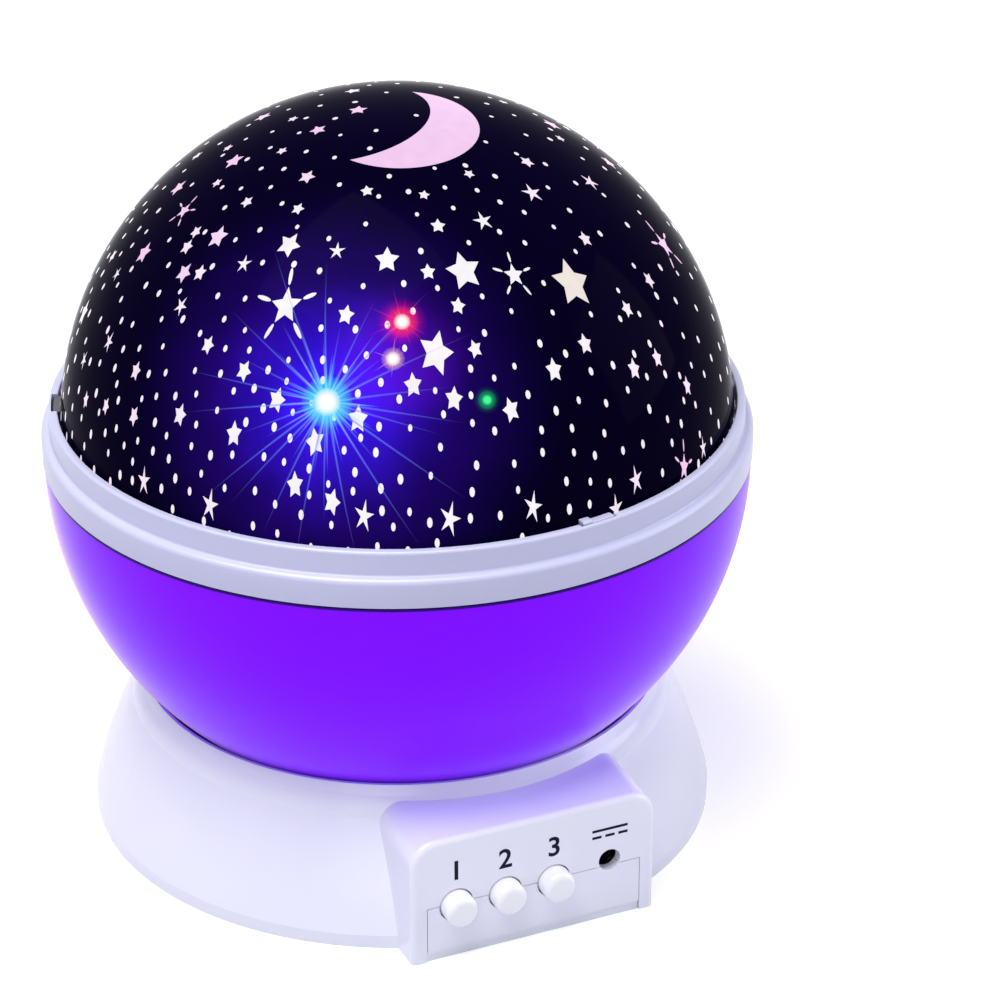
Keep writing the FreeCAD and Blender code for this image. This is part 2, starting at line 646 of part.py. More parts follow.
def make_spin_gear():
    """The gear under the bowl: spur teeth, a seat against the bowl and a hub that runs on
    the lamp post."""
    face = tooth_ring(value("gear_teeth"), 0, value("gear_backlash"))
    low, teeth_low = value(GEAR_LOW), value(TEETH_LOW)
    teeth = face.extrude(Vector(0, 0, value("gear_face")))
    teeth.translate(Vector(0, 0, teeth_low))
    seat_radius = value("gear_module") * (value("gear_teeth") / 2 - 3)
    seat = Part.makeCylinder(seat_radius, value(BOWL_LOW) - low, Vector(0, 0, low))
    relief = value("post_radius + washer_width")
    foot = Part.makeCylinder(seat_radius + 1, teeth_low - low, Vector(0, 0, low))
    foot = foot.cut(Part.makeCylinder(relief, teeth_low - low, Vector(0, 0, low)))
    hub = Part.makeCylinder(value("hub_radius"), value(HUB_TOP) - low, Vector(0, 0, low))
    solid = teeth.fuse([seat, hub]).cut(foot)
    bore = value("post_radius + running_gap")
    solid = solid.cut(Part.makeCylinder(bore, hub.BoundBox.ZLength * 2, Vector(0, 0, low - 1)))
    for across, along in on_circle("gear_screw_circle", value("gear_screw_turn"), 3):
        spot = Vector(value(across), value(along), low - 1)
        solid = solid.cut(Part.makeCylinder(value("screw_radius + screw_clearance"),
                                            value("gear_height + 3"), spot))
        sink = value("screw_head_radius + screw_clearance")
        rim = value("screw_radius + screw_clearance")
        sunk = Vector(spot.x, spot.y, teeth_low)
        solid = solid.cut(Part.makeCone(sink, rim, sink - rim, sunk))
    item = doc.addObject("Part::Feature", "spin_gear")
    item.Label = "spin_gear"
    item.Shape = solid.removeSplitter()


def make_drive_pinion():
    """The pinion on the output shaft, with a tooth gap turned towards the gear."""
    phase = math.pi / value("pinion_teeth")
    face = tooth_ring(value("pinion_teeth"), phase, value("gear_backlash"))
    solid = face.extrude(Vector(0, 0, value("gear_face") + 0.2))
    solid = solid.cut(Part.makeCylinder(value("shaft_radius + 0.02"), 20, Vector(0, 0, -1)))
    item = doc.addObject("Part::Feature", "drive_pinion")
    item.Label = "drive_pinion"
    item.Shape = solid
    item.Placement = Placement(Vector(0, value(GEAR_DISTANCE), value(TEETH_LOW) - 0.2),
                               Rotation())


def make_output_shaft():
    """The gearbox's output shaft, up through the well's floor into the pinion."""
    body = new_body("output_shaft")
    sketch = circles(body, "XY_Plane", [("0", GEAR_DISTANCE, "shaft_radius")],
                     shift=GEARBOX_LOW + " + 1")
    pad(body, sketch, "%s + gear_face - %s - 1" % (TEETH_LOW, GEARBOX_LOW))


def make_thrust_washer():
    """The plain washer that carries the gear on the well's floor."""
    body = new_body("thrust_washer")
    revolve(body, rectangle(body, "XZ_Plane", ("post_radius + running_gap", "well_floor"),
                            ("post_radius + washer_width", GEAR_LOW)))


def make_led_post():
    """The hollow lamp post: a flange under the well's floor, the journal with its groove
    and a slimmer neck."""
    body = new_body("led_post")
    groove = "(post_radius - retainer_depth)"
    profile = outline(body, "XZ_Plane", [
        ("post_bore", POST_FLANGE_LOW),
        ("post_flange_radius", POST_FLANGE_LOW),
        ("post_flange_radius", WELL_UNDER),
        ("post_radius", WELL_UNDER),
        ("post_radius", RETAINER_LOW),
        (groove, RETAINER_LOW),
        (groove, RETAINER_LOW + " + retainer_thick + 0.1"),
        ("post_radius", RETAINER_LOW + " + retainer_thick + 0.1"),
        ("post_radius", RETAINER_LOW + " + retainer_thick + 1.2"),
        ("post_neck_radius", RETAINER_LOW + " + retainer_thick + 7"),
        ("post_neck_radius", "post_top"),
        ("post_bore", "post_top")])
    revolve(body, profile)
    drill(body, on_circle("post_screw_circle", 90, 3), "screw_radius + pilot_clearance",
          POST_FLANGE_LOW + " - 0.5", WELL_UNDER + " + 0.5")


def make_retaining_ring():
    """The open ring in the post's groove that keeps the bowl down."""
    body = new_body("retaining_ring")
    sketch = rectangle(body, "XZ_Plane", ("post_radius - retainer_depth + 0.05", RETAINER_LOW),
                       ("post_radius + retainer_reach", RETAINER_LOW + " + retainer_thick"))
    revolve(body, sketch, 300)


def make_led_holder():
    """The lamp holder: a socket over the post that flares into a rimmed disc."""
    body = new_body("led_holder")
    socket = "(post_neck_radius + holder_socket_wall)"
    profile = outline(body, "XZ_Plane", [
        ("post_neck_radius + 0.05", "post_top - holder_socket_depth"),
        (socket, "post_top - holder_socket_depth"),
        (socket, "post_top - 3"),
        ("holder_radius - 2.5", "holder_seat - holder_disc"),
        ("holder_radius", "holder_seat - holder_disc + 0.8"),
        ("holder_radius", LAMP_BOARD_TOP),
        ("holder_radius - holder_rim", LAMP_BOARD_TOP),
        ("holder_radius - holder_rim", "holder_seat"),
        ("post_bore", "holder_seat"),
        ("post_bore", "post_top"),
        ("post_neck_radius + 0.05", "post_top")],
        arcs={2: ("holder_radius", -1)})
    revolve(body, profile)
    spots = on_circle("board_screw_circle", value("board_screw_turn"), 3)
    drill(body, spots, "small_screw_radius + pilot_clearance", "holder_seat - 1.7", "holder_seat + 1")


def make_led_board():
    """The round lamp board with its screw holes and the slot for the ribbon."""
    body = new_body("led_board")
    disc = circles(body, "XY_Plane", [("0", "0", "holder_radius - holder_rim - board_gap")],
                   shift="holder_seat")
    pad(body, disc, "board_thick")
    spots = on_circle("board_screw_circle", value("board_screw_turn"), 3)
    drill(body, spots, "small_screw_radius + screw_clearance", "holder_seat - 1", LAMP_BOARD_TOP + " + 1")


def make_led(colour):
    """A 5 mm LED: a round-ended lens, its flange and two leads down to the board."""
    body = new_body("led_" + colour)
    low = "led_standoff"
    cylinder = "(led_standoff + led_height - led_radius)"
    lens = outline(body, "XZ_Plane", [
        ("0", low), ("led_flange", low), ("led_flange", "led_standoff + 1"),
        ("led_radius", "led_standoff + 1"), ("led_radius", cylinder),
        ("0", "led_standoff + led_height")], arcs={4: ("led_radius", 1)})
    revolve(body, lens)
    leads = new_sketch(body, "XY_Plane")
    for side in (-1, 1):
        middle = "%d * led_lead_pitch / 2" % side
        rectangle(body, "XY_Plane", (middle + " - led_lead / 2", "-led_lead / 2"),
                  (middle + " + led_lead / 2", "led_lead / 2"), sketch=leads)
    pad(body, leads, "led_standoff + 0.2")
    place(body, colour + "_led_across", colour + "_led_along", LAMP_BOARD_TOP)


def make_base_housing():
    """The moulded base: a bulging skirt, the panel block drawn out of its front, the lip
    and well that the bowl turns in, and bosses for the base plate's screws."""
    body = new_body("base_housing")
    skirt_inner = "(base_radius - base_wall)"
    skirt_top = "(well_floor + 1.8)"
    drop = "(base_wall * 1.05)"
    # The flank's place at the height where the hollow under it ends.
    slope = "((base_radius - shoulder_radius) / (shoulder_height - base_edge))"
    inner_top = "(shoulder_radius + %s * (shoulder_height - %s) - %s + 0.5)" % (
        slope, skirt_top, drop)
    skirt = outline(body, "XZ_Plane", [
        (skirt_inner, "0"),
        ("base_radius", "0"),
        ("base_radius", "base_edge"),
        ("shoulder_radius", "shoulder_height"),
        (WELL_RADIUS + " + lip_width", "lip_height - 1.8"),
        (WELL_RADIUS + " + lip_width / 2.5", "lip_height"),
        (WELL_RADIUS, "lip_height"),
        (WELL_RADIUS, skirt_top),
        (inner_top, skirt_top),
        (skirt_inner, "base_edge")],
        arcs={2: ("flank_arc", 1), 3: ("shoulder_height / 2.5", 1), 8: ("flank_arc", -1)})
    revolve(body, skirt)

    def block(inset, front, top, back, corner):
        """The panel block's outline, lofted from its front to inside the skirt."""
        sketches = []
        half = "(panel_half_width - %s)" % inset
        for depth, rise in ((front, "0"), (back, "panel_rise")):
            high = "(%s + %s)" % (top, rise)
            sketches.append(outline(body, "XZ_Plane", [
                (half, "0"), (half, high + " - " + corner), (half + " - " + corner, high),
                ("%s - %s" % (corner, half), high), ("-" + half, high + " - " + corner),
                ("-" + half, "0")],
                arcs={1: (corner, 1), 3: (corner, 1)}, shift=depth))
        return sketches

    def loft(sketches, cut=False):
        """A straight loft between two outlines."""
        kind = "PartDesign::SubtractiveLoft" if cut else "PartDesign::AdditiveLoft"
        feature = body.newObject(kind, "Panel")
        feature.Profile = sketches[0]
        feature.Sections = sketches[1:]
        feature.Ruled = True
        body.Tip = feature
        return feature

    outer_back = "(panel_front - 17)"
    loft(block("0", "panel_front", "panel_height", outer_back, "panel_corner"))
    doc.recompute()
    plain = body.Tip
    edges = [index for index, edge in enumerate(plain.Shape.Edges, start=1)
             if edge.BoundBox.YMax < -value("panel_front") + 1e-3
             and edge.BoundBox.ZMax > 1]
    rounding = body.newObject("PartDesign::Fillet", "PanelEdge")
    rounding.Base = (plain, ["Edge%d" % index for index in edges])
    rounding.setExpression("Radius", bound("panel_edge_round"))
    body.Tip = rounding
    doc.recompute()
    hollow = block("base_wall", PANEL_INNER, "panel_height - base_wall",
                   "(panel_front - 25)", "(panel_corner - base_wall)")
    loft(hollow, cut=True)
    # The skirt's own hollow, cut once more where the block was drawn into it.
    inside = outline(body, "XZ_Plane", [
        ("0", "-1"), (skirt_inner, "-1"), (skirt_inner, "base_edge"), (inner_top, skirt_top),
        ("0", skirt_top)], arcs={2: ("flank_arc", 1)})
    revolve(body, inside, cut=True)
    # The well: its wall, its floor and the hole for the lamp post.
    well = outline(body, "XZ_Plane", [
        ("post_radius + 0.05", WELL_UNDER),
        (WELL_RADIUS + " + well_wall", WELL_UNDER),
        (WELL_RADIUS + " + well_wall", "shoulder_height + 1.3"),
        (WELL_RADIUS, "shoulder_height + 1.3"),
        (WELL_RADIUS, "well_floor"),
        ("post_radius + 0.05", "well_floor")])
    revolve(body, well)
    clear = rectangle(body, "XZ_Plane", ("post_radius + 0.05", "well_floor"),
                      (WELL_RADIUS, "lip_height + 5"))
    revolve(body, clear, cut=True)
    # The open front below the seam, where the base plate's tongue stands.
    gate = rectangle(body, "XZ_Plane",
                     ("-(tongue_half_width + tongue_gap)", "-1"),
                     ("tongue_half_width + tongue_gap", "tongue_height + tongue_gap"),
                     shift="panel_front + 1")
    pad(body, gate, "base_wall + 1.5", cut=True, back=True)
    # Holes for the buttons and the power inlet.
    rounds = [("button_middle + %d * button_pitch" % step, "button_height",
               "button_radius + button_gap") for step in (-1, 0, 1)]
    rounds.append(("jack_across", "jack_height", "jack_hole_radius"))
    holes = circles(body, "XZ_Plane", rounds, shift="panel_front + 1")
    pad(body, holes, "base_wall + 1.5", cut=True, back=True)
    # Bosses under the well's floor, and the holes in that floor.
    stand(body, SCREW_SPOTS, "screw_boss_radius", "screw_boss_foot", WELL_UNDER + " + 0.5")
    drill(body, SCREW_SPOTS, "screw_radius + pilot_clearance", "screw_boss_foot - 1",
          "screw_boss_foot + 8.5")
    drill(body, on_circle("post_screw_circle", 90, 3), "screw_radius + screw_clearance",
          WELL_UNDER + " - 0.5", "well_floor + 0.5")
    drill(body, [("0", GEAR_DISTANCE)], "shaft_radius + 1.1", WELL_UNDER + " - 0.5",
          "well_floor + 0.5")
    drill(body, gearbox_screws(), "small_screw_radius + pilot_clearance",
          WELL_UNDER + " - 0.5", WELL_UNDER + " + 1.4")
    drill(body, on_circle("post_screw_circle", 90, 3), "screw_head_radius + screw_clearance",
          "well_floor - post_head - 0.05", "well_floor + 0.5")


def gearbox_screws():
    """The two gearbox screws, in the part's frame."""
    turn = "gearbox_turn"
    spots = []
    for side in ("-gearbox_screw_apart / 2", "gearbox_screw_apart / 2"):
        spots.append(("gearbox_screw_along * cos(%s) - (%s) * sin(%s)" % (turn, side, turn),
                      "%s + gearbox_screw_along * sin(%s) + (%s) * cos(%s)" % (
                          GEAR_DISTANCE, turn, side, turn)))
    return spots


def make_motor():
    """The drive: a flat gearbox with rounded ends under the well's floor, and the motor
    can that hangs from its far end."""
    gearbox = new_body("motor_gearbox")
    slot = outline(gearbox, "XY_Plane", [
        ("0", "-gearbox_radius"), ("gearbox_length", "-gearbox_radius"),
        ("gearbox_length + gearbox_radius", "0"), ("gearbox_length", "gearbox_radius"),
        ("0", "gearbox_radius"), ("-gearbox_radius", "0")],
        arcs={1: ("gearbox_radius", 1), 2: ("gearbox_radius", 1),
              4: ("gearbox_radius", 1), 5: ("gearbox_radius", 1)})
    pad(gearbox, slot, "gearbox_thick")
    drill(gearbox, [("0", "0")], "shaft_radius + 0.15", "0.95", "gearbox_thick + 1")
    drill(gearbox, [("gearbox_screw_along", "-gearbox_screw_apart / 2"),
                    ("gearbox_screw_along", "gearbox_screw_apart / 2")],
          "small_screw_radius + screw_clearance",
          "-1", "gearbox_thick + 1")
    place(gearbox, 0, GEAR_DISTANCE, GEARBOX_LOW, angle="gearbox_turn")
    can = new_body("drive_motor")
    side = "sqrt(motor_radius^2 - motor_flat^2)"
    section = outline(can, "XY_Plane", [
        ("gearbox_length - " + side, "-motor_flat"), ("gearbox_length + " + side, "-motor_flat"),
        ("gearbox_length + motor_radius", "0"),
        ("gearbox_length + " + side, "motor_flat"), ("gearbox_length - " + side, "motor_flat"),
        ("gearbox_length - motor_radius", "0")],
        arcs={1: ("motor_radius", 1), 2: ("motor_radius", 1),
              4: ("motor_radius", 1), 5: ("motor_radius", 1)})
    pad(can, section, "motor_height")
    end_cap = circles(can, "XY_Plane", [("gearbox_length", "0", "motor_radius / 3")])
    pad(can, end_cap, "0.8", back=True)
    place(can, 0, GEAR_DISTANCE, GEARBOX_LOW + " - motor_height", angle="gearbox_turn")


def make_base_plate():
    """The base plate: a disc inside the skirt, the front tongue under the buttons, the
    battery bay, bosses for the screws and posts for the control board."""
    body = new_body("base_plate")
    rim = "(base_radius - base_wall - plate_gap)"
    disc = circles(body, "XY_Plane", [("0", "0", rim)])
    pad(body, disc, "plate_thick")
    apron = rectangle(body, "XY_Plane",
                      ("-(panel_half_width - base_wall - plate_gap)", "-panel_front + base_wall + 0.2"),
                      ("panel_half_width - base_wall - plate_gap", "-panel_front + 14"))
    pad(body, apron, "plate_thick")
    foot = rectangle(body, "XY_Plane", ("-tongue_half_width", "-panel_front + 1"),
                     ("tongue_half_width", "-panel_front + 4"))
    pad(body, foot, "plate_thick")
    tongue = rectangle(body, "XZ_Plane", ("-tongue_half_width", "0"),
                       ("tongue_half_width", "tongue_height"), shift="panel_front")
    pad(body, tongue, "tongue_thick + 0.3", back=True)
    step = rectangle(body, "XZ_Plane", ("-tongue_half_width - 1", "-1"),
                     ("tongue_half_width + 1", "tongue_step"), shift="panel_front + 1")
    pad(body, step, "tongue_step_depth + 1", cut=True, back=True)
    rounds = [("button_middle + %d * button_pitch" % number, "button_height",
               "button_radius + button_gap") for number in (-1, 0, 1)]
    rounds.append(("jack_across", "jack_height", "jack_hole_radius"))
    notches = circles(body, "XZ_Plane", rounds, shift="panel_front + 1")
    pad(body, notches, "tongue_thick + 2", cut=True, back=True)
    relief = [("button_middle + %d * button_pitch" % number, "button_height",
               "button_flange + button_gap") for number in (-1, 0, 1)]
    back_relief = circles(body, "XZ_Plane", relief, shift="panel_front - base_wall + 0.05")
    pad(body, back_relief, "2", cut=True, back=True)
    long_side = "(%s + bay_wall)" % BAY_HALF_LENGTH
    short_side = "(%s + bay_wall)" % BAY_HALF_WIDTH
    bay = rectangle(body, "XY_Plane", ("-" + long_side, "bay_middle - " + short_side),
                    (long_side, "bay_middle + " + short_side))
    pad(body, bay, BAY_TOP)
    room = rectangle(body, "XY_Plane", ("-" + BAY_HALF_LENGTH, "bay_middle - " + BAY_HALF_WIDTH),
                     (BAY_HALF_LENGTH, "bay_middle + " + BAY_HALF_WIDTH), shift="plate_thick")
    pad(body, room, BAY_INNER_TOP + " - plate_thick", cut=True)
    opening = rectangle(body, "XY_Plane",
                        ("-(%s - door_ledge)" % BAY_HALF_LENGTH,
                         "bay_middle - %s + door_ledge" % BAY_HALF_WIDTH),
                        (BAY_HALF_LENGTH + " - door_ledge",
                         "bay_middle + %s - door_ledge" % BAY_HALF_WIDTH), shift="-1")
    pad(body, opening, "plate_thick + 2", cut=True)
    # The door's ear lies in a shallow recess, under the boss of its screw.
    stand(body, [("0", DOOR_SCREW_Y)], "screw_boss_radius - 0.4", "door_thick", "door_boss_height")
    ear = new_sketch(body, "XY_Plane", shift="-1")
    ear_half = "(door_ear_radius + door_gap)"
    outline(body, "XY_Plane", [
        ("-" + ear_half, "bay_middle + %s - door_ledge - 0.5" % BAY_HALF_WIDTH),
        (ear_half, "bay_middle + %s - door_ledge - 0.5" % BAY_HALF_WIDTH),
        (ear_half, DOOR_SCREW_Y), ("0", "%s + %s" % (DOOR_SCREW_Y, ear_half)),
        ("-" + ear_half, DOOR_SCREW_Y)],
        arcs={2: (ear_half, 1), 3: (ear_half, 1)}, sketch=ear)
    pad(body, ear, "door_thick + 1.05", cut=True)
    drill(body, [("0", DOOR_SCREW_Y)], "small_screw_radius + pilot_clearance", "1",
          "door_boss_height - 1")
    # Bosses that meet the housing's, with the screw heads sunk from below.
    stand(body, SCREW_SPOTS, "screw_boss_radius", "1", "screw_boss_foot")
    drill(body, SCREW_SPOTS, "screw_head_radius + screw_clearance", "-1", "screw_head + 0.6")
    drill(body, SCREW_SPOTS, "screw_radius + screw_clearance", "0", "screw_boss_foot + 1")
    posts = [("control_screw_across", "control_screw_along"),
             ("-control_screw_across", "control_screw_along")]
    stand(body, posts, "2.6", "1", "control_board_top - board_thick")
    drill(body, posts, "small_screw_radius + pilot_clearance", "1.2",
          "control_board_top - board_thick + 1")
    front_posts = [("control_board_half_width - 2.2", "-control_board_front + 5"),
                   ("2.2 - control_board_half_width", "-control_board_front + 5")]
    stand(body, front_posts, "1.6", "1", "control_board_top - board_thick")


def make_battery_door():
    """The battery door: a plate with an ear for its screw and two tabs that hook behind
    the plate's ledge."""
    body = new_body("battery_door")
    half_long = "(%s - door_ledge - door_gap)" % BAY_HALF_LENGTH
    half_short = "(%s - door_ledge - door_gap)" % BAY_HALF_WIDTH
    sheet_plate = rectangle(body, "XY_Plane", ("-" + half_long, "bay_middle - " + half_short),
                            (half_long, "bay_middle + " + half_short))
    pad(body, sheet_plate, "door_thick")
    ear = outline(body, "XY_Plane", [
        ("-door_ear_radius", "bay_middle + %s - 1" % half_short),
        ("door_ear_radius", "bay_middle + %s - 1" % half_short),
        ("door_ear_radius", DOOR_SCREW_Y), ("0", DOOR_SCREW_Y + " + door_ear_radius"),
        ("-door_ear_radius", DOOR_SCREW_Y)],
        arcs={2: ("door_ear_radius", 1), 3: ("door_ear_radius", 1)})
    pad(body, ear, "door_thick")
    drill(body, [("0", DOOR_SCREW_Y)], "small_screw_radius + screw_clearance", "-1",
          "door_thick + 1")
    drill(body, [("0", DOOR_SCREW_Y)], "small_head_radius + screw_clearance", "-1", "0.7")
    # Each tab rises behind the plate's edge and hooks over the plate's ledge.
    edge = "(bay_middle - %s)" % half_short
    for side in (-1, 1):
        left = "(%d * door_tab_across - door_tab_width / 2)" % side
        right = "(%d * door_tab_across + door_tab_width / 2)" % side
        riser = rectangle(body, "XY_Plane", (left, edge), (right, edge + " + bay_end_gap / 3"),
                          shift="door_thick - 0.4")
        pad(body, riser, "plate_thick + door_gap + door_tab_thick - door_thick + 0.4")
        hook = rectangle(body, "XY_Plane", (left, "bay_middle - %s + 0.15" % BAY_HALF_WIDTH),
                         (right, edge + " + bay_end_gap / 3"), shift="plate_thick + door_gap")
        pad(body, hook, "door_tab_thick")
    # Finger grooves in the outer face.
    for number in range(3):
        along = "bay_middle - %s + %d" % (half_short, 4 + 3 * number)
        groove = rectangle(body, "XY_Plane", ("-6", along), ("6", along + " + 1.2"), shift="-1")
        pad(body, groove, "1.4", cut=True)


def make_cells():
    """Four cells side by side, every second one turned round."""
    for number in range(4):
        body = new_body("aaa_cell_%d" % (number + 1))
        profile = outline(body, "XZ_Plane", [
            ("0", "-cell_length / 2"), ("cell_radius - 0.5", "-cell_length / 2"),
            ("cell_radius", "0.5 - cell_length / 2"),
            ("cell_radius", "cell_length / 2 - cell_nub - 0.5"),
            ("cell_radius - 0.5", "cell_length / 2 - cell_nub"),
            ("cell_nub_radius", "cell_length / 2 - cell_nub"),
            ("cell_nub_radius", "cell_length / 2"), ("0", "cell_length / 2")])
        revolve(body, profile)
        place(body, 0, "bay_middle + %s * cell_pitch" % (number - 1.5), CELL_AXIS,
              axis=Vector(0, 1, 0), angle=90 if number % 2 == 0 else -90)


def make_contacts():
    """The contacts of the bay: at each cell's end a plate, and for its flat end a bent
    leaf spring that presses on it."""
    thick = value("contact_thick")
    tall = 2 * value("cell_radius") - 2.4
    shapes = []
    for number in range(4):
        along = value("bay_middle + %s * cell_pitch" % (number - 1.5))
        flat_end = -1 if number % 2 == 0 else 1
        for end in (-1, 1):
            wall = end * value(BAY_HALF_LENGTH)
            cell_end = end * value("cell_length / 2")
            strip = Part.makeBox(thick, 7.0, tall)
            strip.translate(Vector(wall - thick if end > 0 else wall, along - 3.5,
                                   value(CELL_AXIS) - tall / 2))
            reach = abs(wall - cell_end) - thick
            start = Vector(wall - end * thick, along, value(CELL_AXIS) - tall / 2)
            if end == flat_end:
                corners = [(0, 0), (0, 2 * thick), (reach - thick, tall / 2),
                           (0.3, tall - 1), (0.3, tall - 1 + thick), (reach, tall / 2), (0.3, 0)]
            else:
                corners = [(0, tall / 2 - 1.5), (0, tall / 2 + 1.5), (reach, tall / 2 + 1),
                           (reach, tall / 2 - 1)]
            points = [start + Vector(-end * out, -2.0, up) for out, up in corners]
            leaf = Part.Face(Part.makePolygon(points + points[:1])).extrude(Vector(0, 4, 0))
            shapes.append(strip.fuse(leaf).removeSplitter())
    group("battery_contacts", shapes)


def make_control_board():
    """The control board behind the panel, on the base plate's posts."""
    body = new_body("control_board")
    low = "control_board_top - board_thick"
    plate = rectangle(body, "XY_Plane", ("-control_board_half_width", "-control_board_front"),
                      ("control_board_half_width", "control_board_depth - control_board_front"),
                      shift=low)
    pad(body, plate, "board_thick")
    drill(body, [("control_screw_across", "control_screw_along"),
                 ("-control_screw_across", "control_screw_along")],
          "small_screw_radius + screw_clearance", low + " - 1", "control_board_top + 1")


def make_button(number):
    """One button: a round-edged cap, the flange behind the panel and a boss that bears on
    the plunger; its push switch, and the plunger that goes in with the button."""
    across = "(button_middle + %d * button_pitch)" % (number - 2)
    front = "(-panel_front - button_proud)"
    flange = "(-%s + 0.1)" % PANEL_INNER
    boss_end = "(-%s - button_travel - 0.4)" % SWITCH_FRONT
    cap = new_body("button_%d" % number)
    # The cap is turned about its own axis, drawn upright and then laid along +Y.
    profile = outline(cap, "XZ_Plane", [
        ("0", front), ("button_radius - 1.2", front), ("button_radius", front + " + 1.2"),
        ("button_radius", flange), ("button_flange", flange),
        ("button_flange", flange + " + button_flange_thick"),
        ("plunger_radius + 0.5", flange + " + button_flange_thick"),
        ("plunger_radius + 0.5", boss_end), ("0", boss_end)],
        arcs={1: ("1.2", 1)})
    revolve(cap, profile)
    place(cap, across, 0, "button_height", axis=Vector(1, 0, 0), angle=-90)
    plunger = new_body("switch_plunger_%d" % number)
    reach = "(switch_depth - 0.8 - 0.4 - button_travel)"
    length = "(button_travel + 0.4 + %s)" % reach
    stem = circles(plunger, "XZ_Plane", [(across, "button_height", "plunger_radius")],
                   shift="-" + boss_end)
    pad(plunger, stem, length, back=True)
    switch = new_body("button_switch_%d" % number)
    block = rectangle(switch, "XZ_Plane", (across + " - switch_width / 2", "control_board_top"),
                      (across + " + switch_width / 2", "control_board_top + switch_height"),
                      shift=SWITCH_FRONT)
    pad(switch, block, "switch_depth", back=True)
    bore = circles(switch, "XZ_Plane", [(across, "button_height", "plunger_radius + plunger_gap")],
                   shift=SWITCH_FRONT + " + 1")
    pad(switch, bore, "switch_depth + 0.2", cut=True, back=True)


def make_power_inlet():
    """The power inlet: a block on the control board with a mouth, a barrel and, on its
    axis, the centre pin."""
    body = new_body("dc_jack")
    block = rectangle(body, "XZ_Plane", ("jack_across - jack_width / 2", "control_board_top"),
                      ("jack_across + jack_width / 2", "jack_height + jack_shoulder"),
                      shift=JACK_FRONT)
    pad(body, block, "jack_length", back=True)
    collar_radius = "(jack_pin_radius + 0.3)"
    deep = "(jack_mouth_depth + jack_bore_depth)"
    for radius, depth in (("jack_mouth_radius", "jack_mouth_depth"),
                          ("jack_bore_radius", deep),
                          (collar_radius + " + pilot_clearance", "jack_length - 1")):
        hole = circles(body, "XZ_Plane", [("jack_across", "jack_height", radius)],
                       shift=JACK_FRONT + " + 1")
        pad(body, hole, depth + " + 1", cut=True, back=True)
    pin = new_body("jack_pin")
    collar = circles(pin, "XZ_Plane", [("jack_across", "jack_height", collar_radius)],
                     shift="%s - %s" % (JACK_FRONT, deep))
    pad(pin, collar, "jack_length - 1 - " + deep, back=True)
    tip = circles(pin, "XZ_Plane", [("jack_across", "jack_height", "jack_pin_radius")],
                  shift="%s - %s + jack_pin_length" % (JACK_FRONT, deep))
    pad(pin, tip, "jack_pin_length", back=True)


def make_ribbon():
    """The ribbon cable from the control board over the battery bay and up through the
    lamp post to the lamp board, held all the way."""
    body = new_body("lamp_ribbon")
    start = "(control_board_depth - control_board_front - 1.5)"
    over = "(%s + 0.05)" % BAY_TOP
    route = outline(body, "YZ_Plane", [
        (start, "control_board_top"), (start + " + ribbon_thick", "control_board_top"),
        (start + " + ribbon_thick", over), ("-1", over), ("0.8", over + " + 1.8"),
        ("0.8", "holder_seat"),
        ("0.8 - ribbon_thick", "holder_seat"), ("0.8 - ribbon_thick", over + " + 1.8"),
        ("-1", over + " + ribbon_thick"), (start, over + " + ribbon_thick")])
    pad(body, route, "ribbon_width")


def make_screws():
    """Every group of screws."""
    housing = []
    for across, along in SCREW_SPOTS:
        housing.append(screw("screw_radius", "screw_length", "screw_head_radius", "screw_head",
                             (across, along, "screw_head + 0.6")))
    group("plate_screws", housing)
    group("door_screw", [screw("small_screw_radius", "door_screw_length", "small_head_radius", "0.7",
                               (0, DOOR_SCREW_Y, "0.7"))])
    gear = []
    for across, along in on_circle("gear_screw_circle", value("gear_screw_turn"), 3):
        gear.append(screw("screw_radius", "gear_screw_length", "screw_head_radius", "1",
                          (across, along, TEETH_LOW + " + 0.1"), flat=True))
    group("gear_screws", gear)
    post = []
    for across, along in on_circle("post_screw_circle", 90, 3):
        post.append(screw("screw_radius", "post_screw_length", "screw_head_radius", "post_head",
                          (across, along, "well_floor - post_head - 0.05"), up=False))
    group("post_screws", post)
    lamp = []
    for across, along in on_circle("board_screw_circle", value("board_screw_turn"), 3):
        lamp.append(screw("small_screw_radius", "board_screw_length", "small_head_radius", "small_head",
                          (across, along, LAMP_BOARD_TOP), up=False))
    group("led_board_screws", lamp)
    control = []
    for side in (-1, 1):
        control.append(screw("small_screw_radius", "control_screw_length", "small_head_radius", "small_head",
                             ("%d * control_screw_across" % side, "control_screw_along",
                              "control_board_top"), up=False))
    group("control_board_screws", control)
    drive = []
    for across, along in gearbox_screws():
        drive.append(screw("small_screw_radius", "gearbox_thick + gearbox_screw_bite", "small_head_radius",
                           "small_head", (across, along, GEARBOX_LOW)))
    group("motor_screws", drive)


def write_parts():
    """Check every object, then write each sub-part to its own file."""
    doc.recompute()
    for item in doc.Objects:
        if "Invalid" in item.State or "Error" in item.State:
            raise RuntimeError("%s (%s) failed: %s" % (item.Name, item.Label, item.State))
    subparts = [item for item in doc.Objects
                if item.TypeId in ("PartDesign::Body", "Part::Feature")]
    for item in subparts:
        if item.Shape.isNull() or not item.Shape.isValid() or not item.Shape.Solids:
            raise RuntimeError(item.Label + " has no valid solid")
    os.makedirs("parts", exist_ok=True)
    for item in subparts:
        item.Shape.exportStep(os.path.join("parts", item.Label + ".step"))
        print("%-22s %d solid, %9.1f mm3" % (item.Label, len(item.Shape.Solids), item.Shape.Volume))


